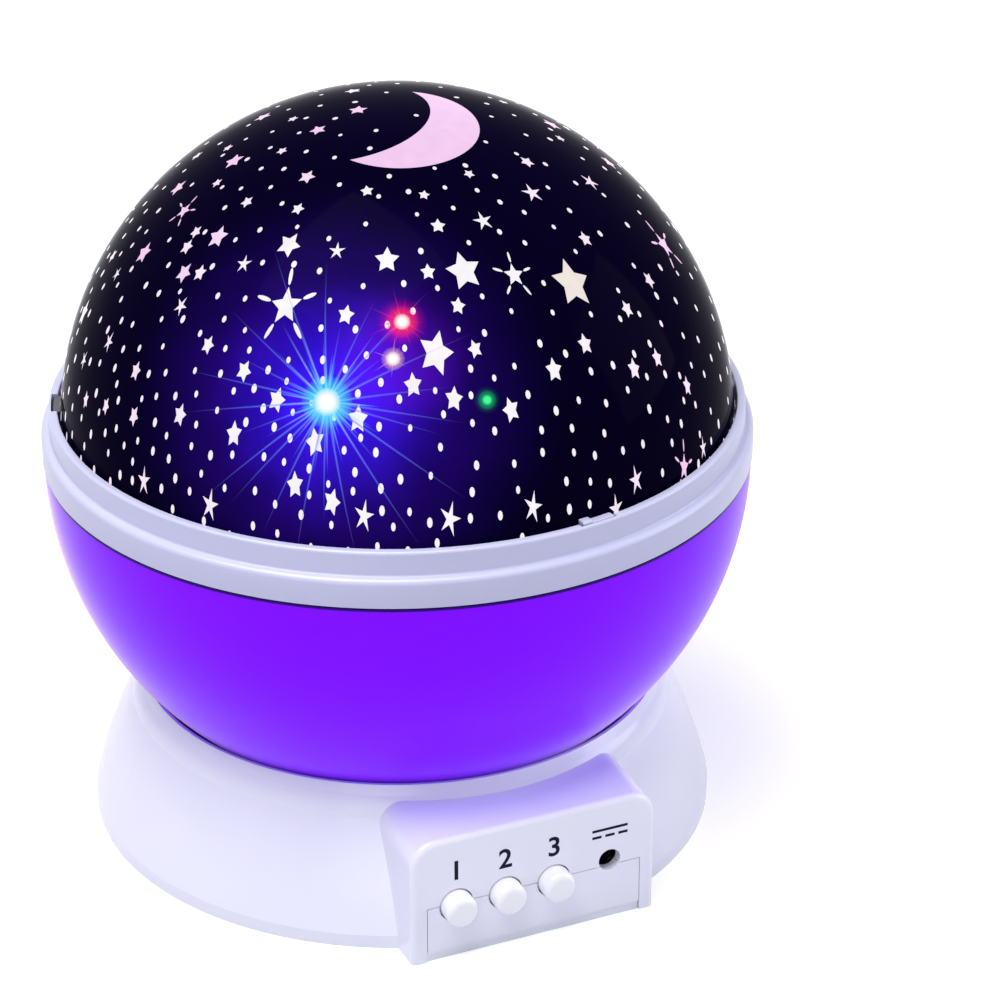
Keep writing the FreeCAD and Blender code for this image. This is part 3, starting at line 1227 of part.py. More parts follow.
make_dome()
make_collar_ring()
make_reflector_deck()
make_bowl()
make_spin_gear()
make_drive_pinion()
make_output_shaft()
make_thrust_washer()
make_led_post()
make_retaining_ring()
make_led_holder()
make_led_board()
for led_colour in LEDS:
    make_led(led_colour)
make_base_housing()
make_motor()
make_base_plate()
make_battery_door()
make_cells()
make_contacts()
make_control_board()
for button_number in (1, 2, 3):
    make_button(button_number)
make_power_inlet()
make_ribbon()
make_screws()
write_parts()
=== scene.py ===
"""Star night light projector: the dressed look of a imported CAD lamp, laid out as an add-on.

The lamp is lit: a printed dome glows over a violet bowl, a white ring joins the two, and
both turn in a white base with three buttons and a power inlet. Lengths are in metres.
"""

import math

import bmesh
import bpy
import numpy as np
from bpy.props import FloatProperty, FloatVectorProperty, IntProperty, PointerProperty
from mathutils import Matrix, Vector


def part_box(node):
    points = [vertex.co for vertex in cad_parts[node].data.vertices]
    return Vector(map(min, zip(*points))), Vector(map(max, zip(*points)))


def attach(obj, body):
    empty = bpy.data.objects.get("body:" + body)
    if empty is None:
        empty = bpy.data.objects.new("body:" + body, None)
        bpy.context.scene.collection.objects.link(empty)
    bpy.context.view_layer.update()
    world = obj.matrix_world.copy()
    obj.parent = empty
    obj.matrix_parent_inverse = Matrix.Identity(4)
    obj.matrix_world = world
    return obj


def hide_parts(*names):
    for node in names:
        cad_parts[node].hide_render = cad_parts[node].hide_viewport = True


bl_info = {
    "name": "Star night light",
    "version": (1, 0, 0),
    "blender": (4, 5, 0),
    "location": "View3D > Sidebar > Night Light",
    "description": "Dresses the night light's frame with its dome, ring, bowl, base and lamps",
    "category": "Object",
}

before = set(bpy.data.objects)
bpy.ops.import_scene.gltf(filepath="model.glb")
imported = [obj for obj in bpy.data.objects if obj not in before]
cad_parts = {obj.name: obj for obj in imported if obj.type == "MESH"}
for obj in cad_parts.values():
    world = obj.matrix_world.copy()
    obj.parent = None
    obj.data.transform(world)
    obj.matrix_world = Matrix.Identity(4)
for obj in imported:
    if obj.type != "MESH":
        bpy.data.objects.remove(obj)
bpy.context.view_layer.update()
MM = 0.001
# Points nearer than this, in metres, are one.
MERGE = 1e-6


def linear(code):
    """The linear colour of an sRGB hex value such as #1A2B3C."""
    parts = [int(code[place:place + 2], 16) / 255 for place in (1, 3, 5)]
    return tuple(part / 12.92 if part <= 0.04045 else ((part + 0.055) / 1.055) ** 2.4
                 for part in parts)


def length(name, description, default):
    """A length property, given in millimetres and kept in metres."""
    return FloatProperty(name=name, description=description, default=default * MM,
                         unit="LENGTH")


def colour(name, description, code):
    """A colour property whose default is an sRGB hex value."""
    return FloatVectorProperty(name=name, description=description, default=linear(code),
                               subtype="COLOR", min=0, max=1)


DOME_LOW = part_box("dome")[0]
RING_LOW, RING_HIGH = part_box("collar_ring")
BOWL_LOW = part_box("bowl")[0]
PANEL_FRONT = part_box("base_plate")[0].y

# Width and height of the photograph in pixels, and width of the camera's sensor in mm.
PICTURE, SENSOR = 1000, 36

# Where the photograph shows each thing, in its pixels, read off. The third number is
# the reach of a star's points in pixels. The print is lit most round LIT_MIDDLE.
LIT_MIDDLE = (400, 360)
BLUE_GLOW = (327, 402)
RED_GLOW = (402, 322)
WARM_GLOW = (393, 359)
GREEN_GLOW = (487, 400)
MOON_TIPS = ((350, 160), (412, 92))
MOON_BACK = (478, 140)
MOON_HOLLOW = (431, 118)
LARGE_STARS = ((289, 245, 13), (387, 260, 13), (464, 271, 19), (436, 353, 19), (572, 283, 23),
               (218, 237, 12), (234, 161, 11), (263, 117, 10), (144, 253, 11), (318, 130, 9),
               (358, 110, 10), (307, 177, 9), (178, 188, 10), (184, 273, 10))
SMALL_STARS = ((413, 385, 10), (454, 399, 10), (511, 410, 10), (475, 349, 8), (458, 306, 8),
               (428, 272, 8), (438, 226, 8), (424, 195, 6), (367, 191, 7), (298, 209, 7),
               (247, 202, 7), (187, 247, 8), (196, 232, 7), (200, 273, 8), (208, 345, 8),
               (244, 371, 9), (277, 400, 10), (346, 315, 9), (358, 419, 11), (315, 442, 11),
               (234, 434, 10), (180, 415, 9), (134, 416, 8), (106, 406, 7), (86, 400, 7),
               (136, 371, 8), (295, 485, 10), (332, 502, 10), (585, 239, 8), (649, 280, 8),
               (627, 309, 8), (585, 344, 9), (554, 370, 10), (634, 369, 9), (657, 358, 8),
               (687, 386, 8), (469, 174, 6), (527, 162, 8), (217, 183, 6), (282, 151, 6),
               (293, 119, 6), (228, 148, 6), (197, 156, 7), (353, 91, 9), (113, 256, 7),
               (84, 313, 12))
THIN_STARS = ((244, 264, 9), (337, 251, 9), (181, 306, 9), (483, 221, 11), (532, 193, 12),
              (590, 182, 11), (364, 516, 12), (450, 519, 13), (533, 507, 12), (616, 509, 11),
              (636, 480, 11), (210, 505, 12), (144, 481, 11), (703, 448, 9), (84, 360, 8),
              (109, 342, 9), (117, 274, 7))
RAYED_STARS = ((286, 306, 17), (514, 275, 11), (184, 211, 9), (664, 245, 13), (684, 467, 10))
CREAM_STAR = 4

# Glows in the print: where, which of the dome's colours, reach in mm and strength.
GLOWS = ((BLUE_GLOW, "purple", 46, 0.08), (BLUE_GLOW, "blue", 46, 0.2),
         (BLUE_GLOW, "blue", 26, 0.75), (BLUE_GLOW, "blue", 11, 0.9),
         (RED_GLOW, "red", 5.0, 0.7), (WARM_GLOW, "purple", 16, 0.3),
         (GREEN_GLOW, "green", 2.6, 0.35))
# Fans of painted light streaks round the lamps on the dome: where, how many, longest and widest in
# mm, colour and alpha.
STREAKS = ((BLUE_GLOW, 25, 37.0, 0.65, "#6F84FF", 1.0), (BLUE_GLOW, 25, 17.0, 0.6, "#A8C8FF", 1.0),
           (BLUE_GLOW, 44, 9.5, 0.75, "#4FF4F4", 1.0), (BLUE_GLOW, 30, 4.6, 1.1, "#FFFFFF", 1.0),
           (RED_GLOW, 14, 8.0, 0.4, "#FF2A5A", 1.0), (RED_GLOW, 11, 2.9, 0.8, "#FFE0E8", 1.0),
           (WARM_GLOW, 12, 4.5, 0.35, "#FFB9A8", 0.9))
# Halos on the dome: where, radius in mm, colour, alpha, and how many print lifts they lie up.
HALOS = ((BLUE_GLOW, 4.6, "#38E4F4", 0.6, 3.0), (BLUE_GLOW, 2.5, "#FFFFFF", 1.0, 3.5),
         (RED_GLOW, 3.0, "#FF2E63", 0.75, 3.0), (RED_GLOW, 1.5, "#FFFFFF", 1.0, 3.5),
         (WARM_GLOW, 2.1, "#FFB4B0", 0.6, 3.0), (WARM_GLOW, 1.35, "#FFFFFF", 1.0, 3.5),
         (GREEN_GLOW, 1.7, "#0FB45C", 0.6, 3.0), (GREEN_GLOW, 0.95, "#4CFFA0", 1.0, 3.5))
# Directions of the lugs and the ring's notches, and half a lug's width, in degrees.
LUG_TURNS, LUG_HALF = (160, 40, -80), 3
# The lit LEDs: node, colour and strength.
LEDS = (("led_blue", "#4A5CFF", 5.0), ("led_red", "#FF3340", 4.0),
        ("led_green", "#30E070", 4.0), ("led_white", "#FFE9C8", 5.0))
# Soft lamps: name, place in metres, height on the axis looked at, size, power and colour.
SOFT_LAMPS = (("top", (-0.3, -0.1, 1.1), 0.06, 0.8, 14.0, (1.0, 0.99, 1.0)),
              ("left", (-0.6, -0.95, 0.35), 0.05, 0.6, 1.6, (0.9, 0.92, 1.0)),
              ("right", (0.95, -0.3, 0.4), 0.06, 0.6, 3.6, (0.92, 0.94, 1.0)))


class LampDome(bpy.types.PropertyGroup):
    """Sizes and colours of the dome and its print."""
    radius: length("Radius", "Outer radius of the dome", 62.9)
    wall: length("Wall", "Thickness of the dome", 1.6)
    centre: length("Centre", "Height of the dome's centre", 78.8)
    lug_reach: length("Lug reach", "How far a lug stands beyond the dome", 1.25)
    print_lift: length("Print lift", "Height of the print over the dome", 0.04)
    dot_radius: length("Dot", "Half width of a printed dot", 0.6)
    dot_spacing: length("Dot spacing", "Least distance between two dots", 3.55)
    dot_seed: IntProperty(name="Dot seed", description="Seed of the dots' places", default=11)
    ink: colour("Ink", "Night blue of the printed dome", "#05011C")
    white: colour("Star", "Lit windows of the print", "#FFFBFF")
    pink: colour("Pink star", "Windows that the lamps reach less", "#F8CDF6")
    cream: colour("Cream star", "The one warm window", "#F4EAE2")
    blue: colour("Blue glow", "Glow round the blue lamp", "#2A14E6")
    purple: colour("Purple glow", "Glow where blue and red meet", "#7A14E0")
    red: colour("Red glow", "Glow round the red lamp", "#F0104A")
    green: colour("Green glow", "Glow round the green lamp", "#12B060")


class LampShell(bpy.types.PropertyGroup):
    """Sizes and colours of the ring, the bowl and the base."""
    ring_lip: length("Ring lip", "Outer radius of the ring's lip", 64.85)
    ring_bore: length("Ring bore", "Inner radius of the lip", 63.25)
    ring_ledge: length("Ring ledge", "Height of the rounded ledge", 79.8)
    ring_round: length("Ring rounding", "Rounding of the ledge", 1.1)
    bowl_radius: length("Bowl radius", "Outer radius of the bowl", 66.2)
    bowl_wall: length("Bowl wall", "Thickness of the bowl", 2.2)
    bowl_rim: length("Bowl rim", "Height of the bowl's outer rim", 74.0)
    white: colour("White", "Cool white of the base", "#F1F2FF")
    # The ring's white is a cool white set darker than the base's, partly as painted shade of the
    # ring's upright bands.
    pearl: colour("Ring white", "Cool grey white of the ring", "#C4C5E4")
    violet: colour("Violet", "Colour of the bowl", "#7C00F0")
    ink: colour("Panel ink", "Print on the panel", "#0C0B2C")


class LampView(bpy.types.PropertyGroup):
    """The photograph's camera."""
    azimuth: FloatProperty(name="Azimuth", description="Camera round the lamp, from the front",
                           default=math.radians(-24.6), subtype="ANGLE", unit="ROTATION")
    elevation: FloatProperty(name="Elevation", description="Camera above the level",
                             default=math.radians(27.06), subtype="ANGLE", unit="ROTATION")
    distance: length("Distance", "Camera from the point it looks at", 750)
    focal: FloatProperty(name="Focal length", description="Focal length on a 36 mm sensor",
                         default=142.74, subtype="DISTANCE_CAMERA")
    aside: length("Aside", "Point looked at, right of the axis", 19.08)
    height: length("Height", "Point looked at, above the table", 61.6)


def camera_axes(view):
    """The camera's place, and its forward, right and up directions, from its two angles."""
    turn, rise = view.azimuth, view.elevation
    forward = np.array([-math.sin(turn) * math.cos(rise), math.cos(turn) * math.cos(rise),
                        -math.sin(rise)])
    right = np.array([math.cos(turn), math.sin(turn), 0.0])
    up = np.cross(right, forward)
    target = right * view.aside + np.array([0, 0, view.height])
    return target - forward * view.distance, forward, right, up


def focal_pixels(view):
    """The focal length in pixels of the photograph."""
    return view.focal / SENSOR * PICTURE


def on_dome(pixels, scene):
    """Directions from the dome's centre to where the photograph's pixels meet the dome: the
    nearer root of the ray's quadratic, or its closest point where the ray passes by."""
    place, forward, right, up = camera_axes(scene.lamp_view)
    pixels = np.atleast_2d(np.asarray(pixels, float))[:, :2]
    rays = (forward * focal_pixels(scene.lamp_view) + right * (pixels[:, :1] - PICTURE / 2)
            - up * (pixels[:, 1:] - PICTURE / 2))
    rays /= np.linalg.norm(rays, axis=1, keepdims=True)
    dome = scene.lamp_dome
    gap = place - np.array([0, 0, dome.centre])
    along = rays @ gap
    inside = np.maximum(along ** 2 - gap @ gap + dome.radius ** 2, 0)
    spots = gap + rays * (-along - np.sqrt(inside))[:, None]
    return spots / np.linalg.norm(spots, axis=1, keepdims=True)


def pixel_size(scene):
    """Metres per pixel on the side of the dome that faces the camera, which is nearer than
    its centre by about 0.7 of the radius."""
    view = scene.lamp_view
    return (view.distance - scene.lamp_dome.radius * 0.7) / focal_pixels(view)


def lay_on(directions, scene, lifts=1):
    """Points on the dome in directions from its centre, so many print lifts above it."""
    dome = scene.lamp_dome
    directions = directions / np.linalg.norm(directions, axis=-1, keepdims=True)
    return directions * (dome.radius + lifts * dome.print_lift) + np.array([0, 0, dome.centre])


def grid_quads(rows, columns, round_rows=False, round_columns=False):
    """Quads over a grid of rows by columns, either way closed on itself where asked."""
    row, column = np.meshgrid(np.arange(rows if round_rows else rows - 1),
                              np.arange(columns if round_columns else columns - 1),
                              indexing="ij")
    below, beside = (row + 1) % rows, (column + 1) % columns
    corners = [row * columns + column, row * columns + beside,
               below * columns + beside, below * columns + column]
    return np.stack(corners, -1).reshape(-1, 4)


def make_piece(name, points, quads, body, material, tint=None, outward=True, crisp=None):
    """A mesh piece that rides on a body. tint is a colour for each point. Doubles at poles and
    seams are merged, normals are turned outwards where the surface is closed, and edges that
    bend by more than crisp degrees stay sharp."""
    mesh = bpy.data.meshes.new(name)
    mesh.from_pydata(np.asarray(points, float).reshape(-1, 3).tolist(), [], quads.tolist())
    if tint is not None:
        layer = mesh.color_attributes.new("tint", "FLOAT_COLOR", "POINT")
        layer.data.foreach_set("color", np.asarray(tint, np.float32).ravel())
    work = bmesh.new()
    work.from_mesh(mesh)
    bmesh.ops.remove_doubles(work, verts=work.verts, dist=MERGE)
    bmesh.ops.dissolve_degenerate(work, edges=work.edges, dist=MERGE / 10)
    if outward:
        bmesh.ops.recalc_face_normals(work, faces=work.faces)
    work.to_mesh(mesh)
    work.free()
    mesh.polygons.foreach_set("use_smooth", [True] * len(mesh.polygons))
    if crisp:
        mesh.set_sharp_from_angle(angle=math.radians(crisp))
    mesh.materials.append(material)
    piece = bpy.data.objects.new(name, mesh)
    bpy.context.scene.collection.objects.link(piece)
    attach(piece, body)
    return piece


def rounded(corners, steps=7):
    """A profile through corners given as (radius, height, rounding) in millimetres: each corner
    that isn't nearly straight is replaced by the circular arc that touches both of its sides.
    Returns metres."""
    corners = np.asarray(corners, float)
    spots, rounds = corners[:, :2], corners[:, 2]
    line = []
    for index, (spot, size) in enumerate(zip(spots, rounds)):
        before, after = spots[index - 1] - spot, spots[(index + 1) % len(spots)] - spot
        before, after = before / np.linalg.norm(before), after / np.linalg.norm(after)
        half = math.acos(np.clip(before @ after, -1, 1)) / 2
        if size == 0 or half > math.radians(88.8):
            line.append(spot[None])
            continue
        inward = (before + after) / np.linalg.norm(before + after)
        centre = spot + inward * size / math.sin(half)
        start, end = spot + before * size / math.tan(half), spot + after * size / math.tan(half)
        first, last = start - centre, end - centre
        angle = math.acos(np.clip(first @ last / size ** 2, -1, 1))
        share = np.linspace(0, 1, steps)[:, None]
        arc = (np.sin((1 - share) * angle) * first + np.sin(share * angle) * last)
        line.append(centre + arc / math.sin(angle))
    return np.concatenate(line) * MM


def block(inner, outer, low, high, under, over):
    """A four-sided section whose two outer corners are rounded."""
    return rounded([(inner, low, 0), (outer, low, under), (outer, high, over), (inner, high, 0)])


def arc_line(centre, radius, start, end, steps):
    """Points in millimetres on a circle of a profile, from one angle to another in degrees."""
    angle = np.radians(np.linspace(start, end, steps))
    return np.stack([centre[0] + radius * np.cos(angle), centre[1] + radius * np.sin(angle)], 1)


def lathe(profile, turns):
    """A profile of (radius, height) turned about the axis: x = r cos t, y = r sin t. The turns
    t are angles in radians, or how many equal steps make the full circle."""
    if isinstance(turns, int):
        turns = np.linspace(0, 2 * np.pi, turns, endpoint=False)
    radius, height = profile[:, :1], profile[:, 1:]
    return np.stack([radius * np.cos(turns), radius * np.sin(turns), height + 0 * turns], -1)


def add_node(material, kind, settings=None, links=None, **attributes):
    """A node with its attributes, its values and its links. A link comes from a socket, or
    from the first output of a node."""
    node = material.node_tree.nodes.new(kind)
    for name, value in attributes.items():
        setattr(node, name, value)
    for name, value in (settings or {}).items():
        node.inputs[name].default_value = value
    for name, source in (links or {}).items():
        output = source if isinstance(source, bpy.types.NodeSocket) else source.outputs[0]
        material.node_tree.links.new(output, node.inputs[name])
    return node


def start_material(name):
    """An empty node material, and the Object coordinates that its patterns read."""
    material = bpy.data.materials.new(name)
    material.use_nodes = True
    material.node_tree.nodes.clear()
    return material, add_node(material, "ShaderNodeTexCoord").outputs["Object"]


def close_material(material, settings, links):
    """The Principled shader with its values and links, wired to the output."""
    shader = add_node(material, "ShaderNodeBsdfPrincipled", settings, links)
    add_node(material, "ShaderNodeOutputMaterial", links={"Surface": shader})
    return material


def rgba(tone):
    """A colour with a full alpha."""
    return (*tuple(tone)[:3], 1.0)


def shade(tone, factor):
    """A colour made lighter or darker."""
    return tuple(min(part * factor, 1.0) for part in tuple(tone)[:3])


def moulded(name, tone, roughness, peel=3.0, depth=0.012, drift=0.94, coat=0.0, ior=1.53):
    """Injection-moulded plastic. The eye sees an even colour that drifts a little over a few
    centimetres, and highlights that ripple with the mould's orange peel, whose width and depth
    are in millimetres."""
    material, where = start_material(name)
    broad = add_node(material, "ShaderNodeTexNoise", {"Scale": 1 / (28 * MM), "Detail": 2.0},
                     {"Vector": where})
    mix = add_node(material, "ShaderNodeMix", {"A": rgba(shade(tone, drift)), "B": rgba(tone)},
                   {"Factor": broad}, data_type="RGBA")
    fine = add_node(material, "ShaderNodeTexNoise", {"Scale": 1 / (peel * MM), "Detail": 3.0},
                    {"Vector": where})
    bump = add_node(material, "ShaderNodeBump", {"Strength": 0.25, "Distance": depth * MM},
                    {"Height": fine})
    gloss = add_node(material, "ShaderNodeMapRange",
                     {"To Min": roughness * 0.85, "To Max": roughness * 1.2}, {"Value": broad})
    return close_material(
        material, {"IOR": ior, "Coat Weight": coat, "Coat Roughness": 0.06},
        {"Base Color": mix.outputs["Result"], "Roughness": gloss, "Normal": bump})


def metal(name, tone, roughness, along=(1, 1, 12)):
    """Drawn or stamped metal. The eye sees a bright tone with fine lines in its gloss: a noise
    of 3.2 mm squeezed twelvefold one way, which is coarser than real lines, so that it shows."""
    material, where = start_material(name)
    stretch = add_node(material, "ShaderNodeMapping", {"Scale": along}, {"Vector": where})
    lines = add_node(material, "ShaderNodeTexNoise", {"Scale": 1 / (3.2 * MM), "Detail": 4.0},
                     {"Vector": stretch})
    gloss = add_node(material, "ShaderNodeMapRange",
                     {"To Min": roughness * 0.7, "To Max": roughness * 1.4}, {"Value": lines})
    mix = add_node(material, "ShaderNodeMix", {"A": rgba(shade(tone, 0.86)), "B": rgba(tone)},
                   {"Factor": lines}, data_type="RGBA")
    return close_material(material, {"Metallic": 1.0},
                          {"Base Color": mix.outputs["Result"], "Roughness": gloss})


def laminate():
    """Circuit board: green solder mask over copper tracks about 1 mm wide. The eye sees
    lighter green blocks that stand up a little under a glossy film."""
    material, where = start_material("green circuit board")
    tracks = add_node(material, "ShaderNodeTexBrick",
                      {"Scale": 1.0, "Brick Width": 7 * MM, "Row Height": 1.6 * MM,
                       "Mortar Size": 0.35 * MM, "Color1": rgba(linear("#1C6B3F")),
                       "Color2": rgba(linear("#185C37")), "Mortar": rgba(linear("#0F4429"))},
                      {"Vector": where})
    bump = add_node(material, "ShaderNodeBump", {"Strength": 0.3, "Distance": 0.03 * MM},
                    {"Height": tracks.outputs["Fac"]})
    return close_material(material, {"Roughness": 0.3},
                          {"Base Color": tracks.outputs["Color"], "Normal": bump})


def lamp_glass(name, code, strength):
    """Cast epoxy of a lit LED. The eye sees clear gloss over its own light, in one colour that
    clouds over a millimetre or two."""
    material, where = start_material(name)
    tone = linear(code)
    cloud = add_node(material, "ShaderNodeTexNoise", {"Scale": 1 / (1.5 * MM)}, {"Vector": where})
    mix = add_node(material, "ShaderNodeMix", {"A": rgba(shade(tone, 0.8)), "B": rgba(tone)},
                   {"Factor": cloud}, data_type="RGBA")
    return close_material(material, {"Roughness": 0.08, "Emission Color": rgba(tone),
                                     "Emission Strength": strength},
                          {"Base Color": mix.outputs["Result"]})


def dress(material, *nodes):
    """Give CAD nodes a material."""
    for node in nodes:
        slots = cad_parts[node].data.materials
        slots.clear()
        slots.append(material)


def lit_violet(shell):
    """Satin violet ABS of the bowl. The eye sees a deep violet that the lamps light a little
    from behind, with a pale sheen at its edge, and darker at the shaded seam under the ring
    and down in the base's opening: two smooth steps over height, multiplied."""
    material = moulded("satin violet ABS", shell.violet, 0.32, peel=2.2, depth=0.01, drift=0.97)
    shader = material.node_tree.nodes["Principled BSDF"]
    where = add_node(material, "ShaderNodeTexCoord").outputs["Object"]
    height = add_node(material, "ShaderNodeSeparateXYZ", links={0: where})
    # Painted glow: the bowl's emission, of back_light strength, masked by two smooth steps over
    # height.
    bands, back_light = [], 0.28
    # The light ends in the last fifth of a millimetre before the seam, and sets in over the
    # 7.5 mm in which the bowl leaves the opening.
    for low, high, start, end in ((shell.bowl_rim - 0.5 * MM, shell.bowl_rim - 0.3 * MM, 1, 0),
                                  (BOWL_LOW.z + 1.5 * MM, BOWL_LOW.z + 9 * MM, 0, 1)):
        bands.append(add_node(material, "ShaderNodeMapRange",
                              {"From Min": low, "From Max": high, "To Min": start, "To Max": end},
                              {"Value": height.outputs["Z"]}, interpolation_type="SMOOTHSTEP"))
    lit = add_node(material, "ShaderNodeMath", links={0: bands[0], 1: bands[1]},
                   operation="MULTIPLY")
    strength = add_node(material, "ShaderNodeMath", {1: back_light}, {0: lit},
                        operation="MULTIPLY")
    plain = shader.inputs["Base Color"].links[0].from_socket
    # Painted shade: at the seam under the ring the bowl's colour turns dark violet, where the
    # ring's shadow falls.
    tone = add_node(material, "ShaderNodeMix", {"A": rgba(linear("#300080"))},
                    {"Factor": bands[0], "B": plain}, data_type="RGBA")
    link = material.node_tree.links.new
    link(tone.outputs["Result"], shader.inputs["Base Color"])
    link(strength.outputs[0], shader.inputs["Emission Strength"])
    for name, value in (("Emission Color", rgba(linear("#7400FF"))), ("Sheen Weight", 1.0),
                        ("Sheen Roughness", 0.24), ("Sheen Tint", rgba(linear("#FFE6FF"))),
                        ("Specular IOR Level", 0.07)):
        shader.inputs[name].default_value = value
    return material


def printed_acrylic(scene):
    """Clear styrene printed night blue on its inside. The eye sees a smooth deep blue, and a
    glow in the print where a lamp is close behind it: strengths that fall with the distance
    from each lamp's spot on the dome, added up."""
    dome = scene.lamp_dome
    material, where = start_material("printed styrene dome")
    total = None
    for pixel, colour_name, reach, strength in GLOWS:
        spot = on_dome(pixel, scene)[0] * dome.radius + np.array([0, 0, dome.centre])
        far = add_node(material, "ShaderNodeVectorMath", {1: tuple(spot)}, {0: where},
                       operation="DISTANCE")
        fall = add_node(material, "ShaderNodeMapRange",
                        {"From Min": 0.0, "From Max": reach * MM, "To Min": strength,
                         "To Max": 0.0}, {"Value": far.outputs["Value"]},
                        interpolation_type="SMOOTHERSTEP")
        tinted = add_node(material, "ShaderNodeVectorMath",
                          {0: tuple(getattr(dome, colour_name))}, {"Scale": fall},
                          operation="SCALE")
        total = tinted if total is None else add_node(
            material, "ShaderNodeVectorMath", links={0: total, 1: tinted}, operation="ADD")
    cloud = add_node(material, "ShaderNodeTexNoise", {"Scale": 1 / (9 * MM), "Detail": 3.0},
                     {"Vector": where})
    patch = add_node(material, "ShaderNodeMapRange",
                     {"From Min": 0.3, "From Max": 0.7, "To Min": 0.75, "To Max": 1.1},
                     {"Value": cloud})
    glow = add_node(material, "ShaderNodeVectorMath", links={0: total, "Scale": patch},
                    operation="SCALE")
    ink = add_node(material, "ShaderNodeMix",
                   {"A": rgba(shade(dome.ink, 0.8)), "B": rgba(dome.ink)}, {"Factor": cloud},
                   data_type="RGBA")
    return close_material(
        material, {"Emission Strength": 1.0, "Roughness": 0.07, "Specular IOR Level": 0.003},
        {"Emission Color": glow, "Base Color": ink.outputs["Result"]})


def window_film():
    """Clear windows of the print. The eye sees them lit from behind, white to pink with a
    faint clouding over 2.5 mm. Their colour comes with the mesh."""
    material, where = start_material("clear window of the print")
    tint = add_node(material, "ShaderNodeVertexColor", layer_name="tint")
    cloud = add_node(material, "ShaderNodeTexNoise", {"Scale": 1 / (2.5 * MM), "Detail": 2.0},
                     {"Vector": where})
    patch = add_node(material, "ShaderNodeMapRange",
                     {"From Min": 0.3, "From Max": 0.7, "To Min": 0.93, "To Max": 1.0},
                     {"Value": cloud})
    lit = add_node(material, "ShaderNodeVectorMath", links={0: tint, "Scale": patch},
                   operation="SCALE")
    return close_material(
        material, {"Base Color": (0.02, 0.02, 0.02, 1), "Emission Strength": 0.95,
                   "Roughness": 0.07, "Specular IOR Level": 0.1}, {"Emission Color": lit})


def glare_light():
    """Light that spreads from a lamp behind the print. The eye sees streaks and halos that
    fade out: their colour comes with the mesh, and its alpha says how much they cover."""
    material = bpy.data.materials.new("lamp glare on the dome")
    material.use_nodes = True
    material.node_tree.nodes.clear()
    tint = add_node(material, "ShaderNodeVertexColor", layer_name="tint")
    light = add_node(material, "ShaderNodeEmission", {"Strength": 1.0},
                     {"Color": tint.outputs["Color"]})
    clear = add_node(material, "ShaderNodeBsdfTransparent")
    blend = add_node(material, "ShaderNodeMixShader",
                     links={0: tint.outputs["Alpha"], 1: clear, 2: light})
    add_node(material, "ShaderNodeOutputMaterial", links={"Surface": blend})
    return material


def tangents(spots):
    """East and north directions on the dome at each spot."""
    east = np.stack([-spots[:, 1], spots[:, 0], 0 * spots[:, 0]], 1)
    east /= np.maximum(np.linalg.norm(east, axis=1, keepdims=True), 1e-9)
    return east, np.cross(spots, east)


def wrap(spots, flat, scene):
    """Flat shapes laid on the dome. flat has a shape's points for each spot, in metres east
    and north. Forming the dome stretched its print: tall near the rim, true at the top."""
    radius = scene.lamp_dome.radius
    east, north = tangents(spots)
    rim = 1 - np.clip(spots[:, 2], 0, 1)[:, None]
    across = flat[..., 0] * (1 - 0.2 * rim) / radius
    along = flat[..., 1] * (1 + 0.55 * rim) / radius
    return lay_on(spots[:, None] + across[..., None] * east[:, None]
                  + along[..., None] * north[:, None], scene)


def star_field(spots, reach, depth, turn, scene):
    """Five-pointed stars with straight sides. In polar form a side's radius is
    d sin(s) / (d sin(s - a) + sin(a)) of the reach: d is the hollows' depth, s the angle from
    a point to a hollow, a the angle from the point. Rings at three shares of the radius
    follow the dome's curve."""
    phase = np.linspace(0, 2 * np.pi, 20, endpoint=False)
    wave = np.abs((phase / (2 * np.pi) * 5 + 0.5) % 1 - 0.5) * 2
    side = np.pi / 5
    off = wave * side
    edge = depth * math.sin(side) / (depth * np.sin(side - off) + np.sin(off))
    share = np.array([0.02, 0.55, 1.0])
    radius = (edge * reach[:, None])[:, None, :] * share[None, :, None]
    angle = (np.pi / 2 + phase[None, :] + turn[:, None])[:, None, :]
    flat = np.stack([radius * np.cos(angle), radius * np.sin(angle)], -1)
    points = wrap(spots, flat.reshape(len(spots), -1, 2), scene)
    return points.reshape(len(spots), 3, 20, 3)


def blob_field(spots, across, along, scene, sides=10):
    """Dots: ellipses of a few sides, as two rings round a small middle."""
    phase = np.linspace(0, 2 * np.pi, sides, endpoint=False)
    share = np.array([0.05, 1.0])[None, :, None]
    flat = np.stack([across[:, None, None] * share * np.cos(phase),
                     along[:, None, None] * share * np.sin(phase)], -1)
    points = wrap(spots, flat.reshape(len(spots), -1, 2), scene)
    return points.reshape(len(spots), 2, sides, 3)


def ray_field(spots, reach, turn, scene):
    """Short strokes round a star, one off each of its five points: ellipses as long as given
    shares of the reach. Returns them with the spot that each belongs to."""
    angle = np.pi / 2 + np.arange(5)[None] * 2 * np.pi / 5 + turn[:, None]
    long = np.array([0.95, 1.0, 0.9, 1.05, 0.85])[None] * reach[:, None]
    phase = np.linspace(0, 2 * np.pi, 10, endpoint=False)
    share = np.array([0.02, 1.0])[:, None]
    start = reach[:, None] * 1.08 + long / 2
    forward = start[..., None, None] + long[..., None, None] * (share * np.cos(phase) * 0.5)
    aside = reach[:, None, None, None] * 0.12 * (share * np.sin(phase))
    cos, sin = np.cos(angle)[..., None, None], np.sin(angle)[..., None, None]
    flat = np.stack([forward * cos - aside * sin, forward * sin + aside * cos], -1)
    owners = np.repeat(spots, 5, axis=0)
    points = wrap(owners, flat.reshape(len(owners), -1, 2), scene)
    return points.reshape(len(owners), 2, 10, 3), owners


